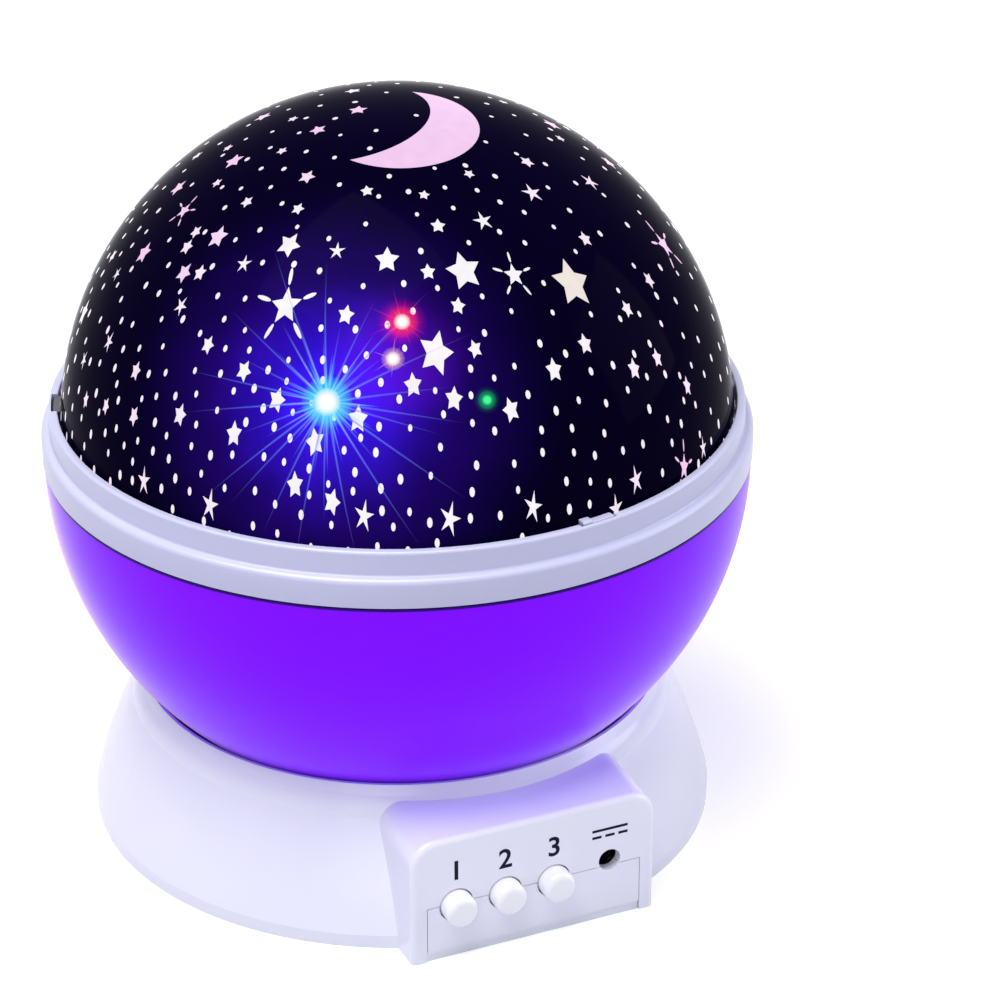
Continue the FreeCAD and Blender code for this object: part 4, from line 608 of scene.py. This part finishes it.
def patches(field, tints):
    """Points, quads and point colours of many patches, each a closed fan of rings with one
    tint: the inner ring is folded to its middle, which the merging of doubles closes."""
    count, rings, sides, _ = field.shape
    field = field.copy()
    field[:, 0] = field[:, 0].mean(1, keepdims=True)
    start = (np.arange(count) * rings * sides)[:, None, None]
    quads = grid_quads(rings, sides, False, True)[None] + start
    tints = np.pad(np.repeat(tints, rings * sides, axis=0), ((0, 0), (0, 1)), constant_values=1)
    return field.reshape(-1, 3), quads.reshape(-1, 4), tints


def film_piece(name, parts, material, scene):
    """One thin piece on the dome from several (points, quads, tints): the quads of each part
    are numbered on from the last one's, and every face is turned away from the dome's centre."""
    starts = np.cumsum([0] + [len(points) for points, _, _ in parts[:-1]])
    piece = make_piece(name, np.concatenate([points for points, _, _ in parts]),
                       np.concatenate([part[1] + start for part, start in zip(parts, starts)]),
                       "dome", material,
                       tint=np.concatenate([tints for _, _, tints in parts]), outward=False)
    work = bmesh.new()
    work.from_mesh(piece.data)
    centre = Vector((0, 0, scene.lamp_dome.centre))
    inward = [face for face in work.faces
              if face.normal.dot(face.calc_center_median() - centre) < 0]
    bmesh.ops.reverse_faces(work, faces=inward)
    work.to_mesh(piece.data)
    work.free()


def both_sides(spots, reach, taken):
    """The pattern that faces the camera, and a copy turned half round for the other side,
    without the copies that would come near a star in front, a lamp or the moon. All sizes
    are shares of the dome's radius."""
    least_gap = 0.11
    turned = spots * np.array([-1, -1, 1])
    apart = np.linalg.norm(turned[:, None] - taken[None], axis=2)
    clear = (apart > least_gap + reach[:, None]).all(1)
    return np.concatenate([spots, turned[clear]]), np.concatenate([reach, reach[clear]])


def scatter_dots(keep_out, clear, scene):
    """Places for the dots: seeded darts thrown evenly over the dome's area, which keep their
    spacing and stay off the stars and the moon. Dots stand closer in some patches than in
    others, by a product of two waves, and thin out towards the top and the right."""
    dome = scene.lamp_dome
    dice = np.random.default_rng(dome.dot_seed)
    throws, highest = 9000, 0.995
    high = dice.uniform(0.0, highest, throws)
    around = dice.uniform(0, 2 * np.pi, throws)
    flat = np.sqrt(1 - high ** 2)
    darts = np.stack([flat * np.cos(around), flat * np.sin(around), high], 1)
    apart = np.linalg.norm(darts[:, None] - keep_out[None], axis=2)
    darts = darts[(apart > clear[None]).all(1)]
    kept = darts[:1]
    least = dome.dot_spacing / dome.radius
    right = camera_axes(scene.lamp_view)[2]
    for dart in darts[1:]:
        patch = 1 + 0.3 * math.sin(7 * dart[0] + 5 * dart[2]) * math.cos(8 * dart[1] - 3 * dart[2])
        patch += 0.5 * dart[2] ** 2 + 0.35 * max(dart @ right, 0)
        if np.linalg.norm(kept - dart, axis=1).min() > least * patch:
            kept = np.concatenate([kept, dart[None]])
    return kept


def moon_patch(scene, rows=9, columns=40):
    """The crescent between two circular arcs that share their tips: across runs from the
    hollow arc to the back arc, along from tip to tip. An arc of rise t over half a chord h
    has the radius (h h + t t) / (2 t)."""
    tips = on_dome(MOON_TIPS, scene)
    inner, outer = on_dome([MOON_HOLLOW, MOON_BACK], scene)
    middle = (tips[0] + tips[1]) / 2
    chord = tips[1] - tips[0]
    half = np.linalg.norm(chord) / 2
    chord /= 2 * half
    out = outer - middle
    out -= chord * (out @ chord)
    out /= np.linalg.norm(out)
    share = np.linspace(0, 1, rows)[:, None, None]
    angle = np.linspace(-1, 1, columns)[None, :, None]
    lines = []
    for spot in (inner, outer):
        tall = (spot - middle) @ out
        radius = (half ** 2 + tall ** 2) / (2 * tall)
        reach = 2 * math.atan(tall / half)
        lines.append(middle + chord * np.sin(angle * reach) * radius
                     + out * (np.cos(angle * reach) * radius - radius + tall))
    return lay_on(lines[0] * (1 - share) + lines[1] * share, scene)


def window_tints(spots, scene, pinkness=1.0):
    """White where the lamps light the print from behind, and pink further off: the pink sets
    in at a distance from the lit middle and is full a band further, in shares of the radius."""
    dome = scene.lamp_dome
    sets_in, band = 0.45, 0.35
    off = np.linalg.norm(spots - on_dome(LIT_MIDDLE, scene)[0], axis=1)
    share = pinkness * np.clip((off - sets_in) / band, 0, 1)[:, None]
    return (1 - share) * np.array(dome.white)[None, :3] + share * np.array(dome.pink)[None, :3]


class LAMP_OT_dome(bpy.types.Operator):
    """Build the printed dome, its lugs, its windows and the glare of the lamps."""
    bl_idname = "lamp.dome"
    bl_label = "Dome"

    def execute(self, context):
        """Turn the shell's section of two arcs and an eased rim, then add what it carries."""
        scene = context.scene
        dome = scene.lamp_dome
        radius, wall, centre = dome.radius / MM, dome.wall / MM, dome.centre / MM
        low, ease, segments = DOME_LOW.z / MM, 0.2, 256
        rim = np.array([[radius, low + ease], [radius - ease, low],
                        [radius - wall + ease, low], [radius - wall, low + ease]])
        profile = np.concatenate([arc_line((0, centre), radius, 90, 0, 70), rim,
                                  arc_line((0, centre), radius - wall, 0, 90, 40)]) * MM
        shell = make_piece("dome_shell", lathe(profile, segments),
                           grid_quads(len(profile), segments, False, True), "dome",
                           printed_acrylic(scene), crisp=35)
        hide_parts("dome")
        self.add_lugs(scene)
        self.add_windows(scene)
        self.add_glare(scene)
        return {"FINISHED"}

    def add_lugs(self, scene):
        """Three lugs: blocks bent round the axis, with a soft outer edge. The front one has
        a white cap that shows how the dome goes on. Each end is closed by its section, folded
        to one middle point."""
        dome = scene.lamp_dome
        radius, high = dome.radius / MM, dome.centre / MM
        reach = radius + dome.lug_reach / MM
        # In mm: how deep a lug and its cap sit in the wall, and heights over the centre.
        lug_root, cap_root, lug_low, lug_top, cap_low = 0.9, 0.3, 2.6, 5.4, 5.3
        mark_top, nub_top = 5.75, 6.25
        # How far the nub runs, in degrees, and the grid's columns over a lug's width.
        nub_turn, columns = 1.7, 9
        lug = block(radius - lug_root, reach, high + lug_low, high + lug_top, 0.4, 0.4)
        mark = block(radius - cap_root, reach, high + cap_low, high + mark_top, 0, 0.2)
        nub = block(radius - cap_root, reach + 0.1, high + cap_low, high + nub_top, 0, 0.4)
        smoke = moulded("smoke styrene lug", linear("#3C3D46"), 0.2)
        # The mark takes the ring's white, which carries painted shade.
        pearl = moulded("white ABS dome mark", scene.lamp_shell.pearl, 0.3)
        plan = [("dome_lug_%d" % number, lug, turn - LUG_HALF, turn + LUG_HALF, smoke)
                for number, turn in enumerate(LUG_TURNS, start=1)]
        first, last = plan[-1][2:4]
        plan += [("dome_mark", mark, first, last, pearl),
                 ("dome_nub", nub, first, first + nub_turn, pearl)]
        for name, section, first, last, material in plan:
            points = lathe(section, np.radians(np.linspace(first, last, columns)))
            parts = [points.reshape(-1, 3)]
            quads = [grid_quads(len(section), columns, True, False)]
            for rim in (points[:, 0], points[:, -1]):
                start = sum(len(part) for part in parts)
                quads.append(grid_quads(2, len(section), False, True) + start)
                parts += [np.broadcast_to(rim.mean(0), rim.shape), rim]
            make_piece(name, np.concatenate(parts), np.concatenate(quads), "dome", material,
                       crisp=30)

    def add_windows(self, scene):
        """Every clear window of the print, as one thin piece on the dome."""
        dome = scene.lamp_dome
        pixel = pixel_size(scene)
        dice = np.random.default_rng(dome.dot_seed)
        parts = []
        moon = moon_patch(scene)
        grid = moon.reshape(-1, 3)[::3] - np.array([0, 0, dome.centre])
        grid /= np.linalg.norm(grid, axis=1, keepdims=True)
        lamps = on_dome([BLUE_GLOW, RED_GLOW, WARM_GLOW, GREEN_GLOW], scene)
        front = on_dome(LARGE_STARS + SMALL_STARS + THIN_STARS + RAYED_STARS, scene)
        taken = np.concatenate([grid, lamps, front])
        # What the dots keep clear of, and by how much, in shares of the dome's radius.
        keep_out, clear = [grid, lamps], [np.full(len(grid), 0.03), np.full(len(lamps), 0.04)]
        for group, depth, pinkness in ((LARGE_STARS, 0.52, 1.0), (SMALL_STARS, 0.54, 0.5),
                                       (THIN_STARS, 0.32, 0.4), (RAYED_STARS, 0.46, 1.0)):
            reach = np.array([star[2] for star in group]) * pixel
            spots, reach = both_sides(on_dome(group, scene), reach / dome.radius, taken)
            tints = window_tints(spots, scene, pinkness)
            if group is LARGE_STARS:
                tints[CREAM_STAR] = tuple(dome.cream)
            turn = dice.uniform(-0.35, 0.35, len(spots))
            parts.append(patches(star_field(spots, reach * dome.radius, depth, turn, scene),
                                 tints))
            if group is RAYED_STARS:
                field, owners = ray_field(spots, reach * dome.radius, turn, scene)
                parts.append(patches(field, window_tints(owners, scene)))
                reach = reach * 1.9
            keep_out.append(spots)
            clear.append(reach * 1.15 + 0.012)
        dots = scatter_dots(np.concatenate(keep_out), np.concatenate(clear), scene)
        size = dome.dot_radius * dice.uniform(0.75, 1.05, len(dots)) * (1 - 0.2 * dots[:, 2])
        parts.append(patches(blob_field(dots, size, size * 1.15, scene),
                             window_tints(dots, scene, 0.25)))
        parts.append((moon.reshape(-1, 3), grid_quads(*moon.shape[:2]),
                      np.tile([*dome.pink, 1.0], (moon[..., 0].size, 1))))
        film_piece("dome_windows", parts, window_film(), scene)

    def glare_points(self, pixel, flat, code, fade, lifts, scene):
        """Points laid at a lamp's spot, in metres east and north, with a colour and alpha."""
        spot = on_dome(pixel, scene)
        east, north = tangents(spot)
        flat = flat / scene.lamp_dome.radius
        points = lay_on(spot[0] + flat[..., :1] * east[0] + flat[..., 1:] * north[0], scene, lifts)
        tint = np.concatenate([np.broadcast_to(linear(code), fade.shape + (3,)),
                               fade[..., None]], -1)
        return points.reshape(-1, 3), tint.reshape(-1, 4)

    def add_glare(self, scene):
        """Streaks and bright cores where each lamp shines through the print: long thin
        triangles and discs along the dome, whose alpha falls from the middle outwards."""
        dice = np.random.default_rng(3)
        parts = []
        share, side = np.linspace(0, 1, 12)[:, None], np.array([-1, 0, 1])
        for pixel, count, far, wide, code, alpha in STREAKS:
            angle = (np.arange(count) + dice.uniform(-0.3, 0.3, count)) * 2 * np.pi / count
            far = far * MM * dice.uniform(0.45, 1.0, count) ** 1.3
            ahead = far[:, None, None] * share + 0 * side
            aside = wide * MM / 2 * (1 - share) ** 0.7 * side + 0 * ahead
            cos, sin = np.cos(angle)[:, None, None], np.sin(angle)[:, None, None]
            flat = np.stack([ahead * cos - aside * sin, ahead * sin + aside * cos], -1)
            fade = (1 - share) ** 1.1 * (1 - np.abs(side)) * alpha + 0 * ahead
            points, tint = self.glare_points(pixel, flat, code, fade, 2, scene)
            start = (np.arange(count) * share.size * 3)[:, None, None]
            parts.append((points, (grid_quads(12, 3)[None] + start).reshape(-1, 4), tint))
        phase = np.linspace(0, 2 * np.pi, 32, endpoint=False)
        share = np.linspace(0, 1, 9)[:, None]
        for pixel, far, code, alpha, lifts in HALOS:
            flat = far * MM * share[..., None] * np.stack([np.cos(phase), np.sin(phase)], -1)
            fade = alpha * np.clip(1.35 * (1 - share ** 1.6), 0, 1) + 0 * phase
            points, tint = self.glare_points(pixel, flat, code, fade, lifts, scene)
            parts.append((points, grid_quads(9, 32, False, True), tint))
        film_piece("dome_glare", parts, glare_light(), scene)


class LAMP_OT_ring(bpy.types.Operator):
    """Build the white two-step ring with its three notches."""
    bl_idname = "lamp.ring"
    bl_label = "Ring"

    def execute(self, context):
        """Turn the ring's section, with the lip's bore widened at each notch: two turns close
        together on each side of it make its walls."""
        shell = context.scene.lamp_shell
        # The ring's white carries painted shade: it is set darker than the base's white.
        white = moulded("gloss white ABS ring", shell.pearl, 0.3)
        low, high, outer = RING_LOW.z / MM, RING_HIGH.z / MM, RING_HIGH.x / MM
        lip, bore, ledge = shell.ring_lip / MM, shell.ring_bore / MM, shell.ring_ledge / MM
        # In mm and degrees: the skirt round the bowl, its shelf, and the notches.
        skirt, shelf = 65.1, 78.0
        notch_floor, notch_wall, notch_half = 81.05, 64.4, 3.35
        section = rounded([(skirt, low, 0.1), (outer, low, 0.25),
                           (outer, ledge, shell.ring_round / MM), (lip, ledge, 0.45),
                           (lip, high, 0.6), (bore, high, 0.25),
                           (bore, notch_floor + 0.01, 0), (bore, notch_floor, 0),
                           (bore, shelf, 0), (skirt, shelf, 0)])
        edges = [direction + side * (notch_half + np.array([-0.02, 0.02]))
                 for direction in LUG_TURNS for side in (-1, 1)]
        turns = np.concatenate([np.linspace(-180, 180, 240, endpoint=False), *edges])
        turns = np.sort((turns + 180) % 360 - 180)
        off = (turns[None] - np.array(LUG_TURNS)[:, None] + 180) % 360 - 180
        inside = (np.abs(off) < notch_half).any(0)
        points = lathe(section, np.radians(turns))
        radius = np.hypot(points[..., 0], points[..., 1])
        cut = (section[:, 1] > (notch_floor + 0.005) * MM)[:, None] & inside[None]
        wanted = np.where(cut, np.maximum(radius, notch_wall * MM), radius)
        points[..., :2] *= (wanted / radius)[..., None]
        ring = make_piece("ring_shell", points, grid_quads(len(section), len(turns), True, True),
                          "sphere", white, crisp=35)
        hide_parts("collar_ring")
        return {"FINISHED"}


class LAMP_OT_bowl(bpy.types.Operator):
    """Build the violet bowl."""
    bl_idname = "lamp.bowl"
    bl_label = "Bowl"

    def execute(self, context):
        """Turn the bowl's closed section: outer sphere, spigot, ledge, inner sphere, floor."""
        shell = context.scene.lamp_shell
        violet = lit_violet(shell)
        radius, wall, rim = (shell.bowl_radius / MM, shell.bowl_wall / MM, shell.bowl_rim / MM)
        low, inner = BOWL_LOW.z / MM, radius - wall
        # In mm: the floor's hole and thickness, the spigot's radii and the ledge's, the heights
        # of spigot and ledge over the rim, where the inner sphere ends under it, and an ease.
        hole, floor, spigot, socket, throat = 13.2, 2.0, 65.0, 63.6, 61.7
        top, ledge, drop, ease = rim + 4.0, rim + 1.1, 2.8, 0.1
        rise = np.degrees(np.arcsin([(low - rim) / radius, (low + floor - rim) / inner,
                                     -drop / inner]))
        section = np.concatenate([
            [[hole, low]],
            arc_line((0, rim), radius, rise[0], 0, 48),
            [[spigot, rim], [spigot, top - ease], [spigot - ease, top], [socket + ease, top],
             [socket, top - ease], [socket, ledge], [throat, ledge], [throat, rim - 0.5]],
            arc_line((0, rim), inner, rise[2], rise[1], 32),
            [[hole, low + floor]]]) * MM
        segments = 224
        bowl = make_piece("bowl_shell", lathe(section, segments),
                          grid_quads(len(section), segments, True, True), "sphere", violet,
                          crisp=30)
        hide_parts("bowl")
        self.add_bosses(violet, low)
        return {"FINISHED"}

    def add_bosses(self, violet, low):
        """The three bosses in the bowl that take the gear's screws."""
        # In mm: how far out they stand, their radius, and their heights over the bowl's low.
        out, radius, foot, head = 17.2, 3.2, 1.9, 7.0
        segments = 32
        section = block(0, radius, low + foot, low + head, 0, 0.4)
        for number, direction in enumerate(np.radians((30, 150, 270)), start=1):
            points = lathe(section, segments)
            points[..., :2] += out * MM * np.array([math.cos(direction), math.sin(direction)])
            make_piece("bowl_boss_%d" % number, points,
                       grid_quads(len(section), segments, True, True), "sphere", violet,
                       crisp=35)


class LAMP_OT_base(bpy.types.Operator):
    """Dress the base, its plate, the battery door, the buttons and the power inlet."""
    bl_idname = "lamp.base"
    bl_label = "Base and panel"

    def execute(self, context):
        """Give the CAD mouldings their plastics and print the panel."""
        shell = context.scene.lamp_shell
        white = moulded("gloss white ABS base", shell.white, 0.24, coat=0.2)
        dress(white, "base_housing", "base_plate", "battery_door")
        dress(moulded("gloss white ABS button", shade(shell.white, 1.08), 0.2, peel=1.2,
                      coat=0.3), "button_1", "button_2", "button_3")
        dress(moulded("black nylon of the inlet and switches", linear("#08080F"), 0.12),
              "dc_jack", "button_switch_1", "button_switch_2", "button_switch_3",
              "switch_plunger_1", "switch_plunger_2", "switch_plunger_3")
        dress(metal("bright brass pin", linear("#E3C27A"), 0.2), "jack_pin")
        self.print_panel(shell)
        return {"FINISHED"}

    def print_panel(self, shell):
        """A figure over each button, and a long dash over three short ones by the inlet."""
        ink = moulded("pad-printed panel ink", shell.ink, 0.5, peel=0.8, drift=0.8, ior=1.2)
        context = bpy.context
        # In mm: how far the ink stands off the panel, the figures' size, their stroke's
        # growth and their middle's height.
        stand_off, figure_size, growth, figure_height = 0.02, 5.6, 0.1, 18.3
        front = PANEL_FRONT - stand_off * MM
        for number, button in enumerate(("button_1", "button_2", "button_3"), start=1):
            low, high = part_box(button)
            letter = bpy.data.curves.new("figure", "FONT")
            letter.body = str(number)
            letter.size = figure_size * MM
            letter.align_x, letter.align_y = "CENTER", "CENTER"
            letter.offset = growth * MM
            holder = bpy.data.objects.new("figure", letter)
            context.scene.collection.objects.link(holder)
            mesh = bpy.data.meshes.new_from_object(
                holder.evaluated_get(context.evaluated_depsgraph_get()))
            bpy.data.objects.remove(holder)
            spots = np.empty(len(mesh.vertices) * 3)
            mesh.vertices.foreach_get("co", spots)
            spots = spots.reshape(-1, 3)
            middle = (spots.min(0) + spots.max(0)) / 2
            placed = np.stack([spots[:, 0] - middle[0] + (low.x + high.x) / 2,
                               np.full(len(spots), front),
                               spots[:, 1] - middle[1] + figure_height * MM], 1)
            mesh.vertices.foreach_set("co", placed.ravel())
            mesh.materials.clear()
            mesh.materials.append(ink)
            piece = bpy.data.objects.new("panel_figure_%d" % number, mesh)
            context.scene.collection.objects.link(piece)
            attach(piece, "base")
        low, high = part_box("jack_pin")
        middle = (low.x + high.x) / 2 / MM
        # In mm: half the long dash, a short dash, their thickness, and the height of each row.
        half, short, thick, upper, lower = 3.6, 1.9, 0.55, 19.0, 17.6
        dashes = [(-half, upper, 2 * half)] + [(start, lower, short)
                                               for start in (-half, -short / 2, half - short)]
        corners = []
        for start, bottom, wide in dashes:
            left, right, top = middle + start, middle + start + wide, bottom + thick
            corners += [(left, bottom), (right, bottom), (right, top), (left, top)]
        corners = np.array(corners) * MM
        points = np.stack([corners[:, 0], np.full(len(corners), front), corners[:, 1]], 1)
        make_piece("panel_power_sign", points, np.arange(len(points)).reshape(-1, 4), "base",
                   ink, outward=False)


class LAMP_OT_inside(bpy.types.Operator):
    """Dress everything inside: lamps, boards, post, deck, drive, cells and screws."""
    bl_idname = "lamp.inside"
    bl_label = "Inside"

    def execute(self, context):
        """Give each CAD node the finish of what it is made of."""
        bright = moulded("white ABS of the inner parts", linear("#F1F2F8"), 0.35)
        dress(bright, "reflector_deck", "led_holder", "led_post")
        dress(laminate(), "led_board", "control_board")
        for name, code, strength in LEDS:
            dress(lamp_glass("lit epoxy " + name, code, strength), name)
        dress(moulded("natural acetal", linear("#EDEBE2"), 0.4, peel=0.8), "spin_gear",
              "drive_pinion", "thrust_washer", "motor_gearbox")
        dress(metal("zinc-plated steel", linear("#C9CBD0"), 0.28), "drive_motor", "output_shaft",
              "retaining_ring", "plate_screws", "door_screw", "gear_screws", "post_screws",
              "led_board_screws", "control_board_screws", "motor_screws")
        dress(metal("nickel-plated spring strip", linear("#D8D6CC"), 0.22, along=(1, 12, 1)),
              "battery_contacts")
        dress(metal("drawn steel can of a cell", linear("#A9B0B8"), 0.3, along=(12, 1, 1)),
              "aaa_cell_1", "aaa_cell_2", "aaa_cell_3", "aaa_cell_4")
        dress(moulded("grey PVC ribbon", linear("#C8CAD0"), 0.5, peel=1.2), "lamp_ribbon")
        return {"FINISHED"}


def seen_or_mirrored(material):
    """1 on rays from the camera and in reflections, and 0 on the rays that light the lamp."""
    rays = add_node(material, "ShaderNodeLightPath")
    return add_node(material, "ShaderNodeMath", links={0: rays.outputs["Is Camera Ray"],
                                                       1: rays.outputs["Is Glossy Ray"]},
                    operation="MAXIMUM")


class LAMP_OT_stage(bpy.types.Operator):
    """Set the floor, the lights and the photograph's camera."""
    bl_idname = "lamp.stage"
    bl_label = "Stage"

    def execute(self, context):
        """A white floor and world, three soft lamps and one camera."""
        scene = context.scene
        place, forward = camera_axes(scene.lamp_view)[:2]
        camera = bpy.data.objects.new("camera", bpy.data.cameras.new("camera"))
        camera.data.lens = scene.lamp_view.focal
        camera.data.sensor_width = SENSOR
        camera.data.clip_start = 0.01
        camera.location = place
        camera.rotation_euler = Vector(forward).to_track_quat("-Z", "Y").to_euler()
        scene.collection.objects.link(camera)
        scene.camera = camera
        self.add_floor(scene)
        self.add_world(scene)
        self.add_lamps(scene)
        scene.view_settings.view_transform = "Standard"
        return {"FINISHED"}

    def add_lamps(self, scene):
        """Soft square lamps, each of which looks at a point on the axis."""
        for name, place, height, size, power, tone in SOFT_LAMPS:
            light = bpy.data.lights.new(name, "AREA")
            light.size, light.energy, light.color = size, power, tone
            lamp = bpy.data.objects.new(name, light)
            lamp.location = place
            gaze = Vector((0, 0, height)) - Vector(place)
            lamp.rotation_euler = gaze.to_track_quat("-Z", "Y").to_euler()
            scene.collection.objects.link(lamp)

    def add_floor(self, scene):
        """A wide floor of matt paper. The eye sees white that keeps the lamp's shadow: the
        camera gets a light from it that grows with the distance from the lamp, in metres."""
        half, near, far = 4.0, 0.3, 1.3
        mesh = bpy.data.meshes.new("floor")
        mesh.from_pydata([(-half, -half, 0), (half, -half, 0), (half, half, 0), (-half, half, 0)],
                         [], [(0, 1, 2, 3)])
        material, where = start_material("white paper sweep")
        paper = add_node(material, "ShaderNodeBsdfPrincipled",
                         {"Base Color": rgba(linear("#D0D0D6")), "Roughness": 0.9})
        away = add_node(material, "ShaderNodeVectorMath", links={0: where}, operation="LENGTH")
        rise = add_node(material, "ShaderNodeMapRange",
                        {"From Min": near, "From Max": far, "To Min": 0.52, "To Max": 0.86},
                        {"Value": away.outputs["Value"]}, interpolation_type="SMOOTHSTEP")
        lift = add_node(material, "ShaderNodeMath", links={0: seen_or_mirrored(material), 1: rise},
                        operation="MULTIPLY")
        glow = add_node(material, "ShaderNodeEmission", {"Color": (1, 1, 1, 1)},
                        {"Strength": lift})
        both = add_node(material, "ShaderNodeAddShader", links={0: paper, 1: glow})
        add_node(material, "ShaderNodeOutputMaterial", links={"Surface": both})
        mesh.materials.append(material)
        floor = bpy.data.objects.new("floor", mesh)
        scene.collection.objects.link(floor)

    def add_world(self, scene):
        """White to the camera and in reflections, and a softer cool light on the lamp."""
        world = bpy.data.worlds.new("studio")
        world.use_nodes = True
        world.node_tree.nodes.clear()
        strength = add_node(world, "ShaderNodeMapRange", {"To Min": 0.27, "To Max": 1.0},
                            {"Value": seen_or_mirrored(world)})
        light = add_node(world, "ShaderNodeBackground", {"Color": rgba(linear("#FCFCFF"))},
                         {"Strength": strength})
        add_node(world, "ShaderNodeOutputWorld", links={"Surface": light})
        scene.world = world


class LAMP_PT_panel(bpy.types.Panel):
    """Buttons for each group of pieces, with the values a user would change."""
    bl_idname = "LAMP_PT_panel"
    bl_label = "Night Light"
    bl_space_type = "VIEW_3D"
    bl_region_type = "UI"
    bl_category = "Night Light"

    def draw(self, context):
        """List the values and the operators."""
        for group in (context.scene.lamp_dome, context.scene.lamp_shell,
                      context.scene.lamp_view):
            box = self.layout.box()
            for name in group.__annotations__:
                box.prop(group, name)
        for operator in OPERATORS:
            self.layout.operator(operator.bl_idname)


OPERATORS = (LAMP_OT_dome, LAMP_OT_ring, LAMP_OT_bowl, LAMP_OT_base, LAMP_OT_inside,
             LAMP_OT_stage)
CLASSES = (LampDome, LampShell, LampView) + OPERATORS + (LAMP_PT_panel,)


def register():
    """Register the classes and hang the values on the scene."""
    for item in CLASSES:
        bpy.utils.register_class(item)
    bpy.types.Scene.lamp_dome = PointerProperty(type=LampDome)
    bpy.types.Scene.lamp_shell = PointerProperty(type=LampShell)
    bpy.types.Scene.lamp_view = PointerProperty(type=LampView)


def unregister():
    """Take the values and the classes away again."""
    del bpy.types.Scene.lamp_dome, bpy.types.Scene.lamp_shell, bpy.types.Scene.lamp_view
    for item in reversed(CLASSES):
        bpy.utils.unregister_class(item)


def main():
    """Build the lamp piece by piece."""
    register()
    for operator in OPERATORS:
        group, name = operator.bl_idname.split(".")
        getattr(getattr(bpy.ops, group), name)()


if __name__ == "__main__":
    main()
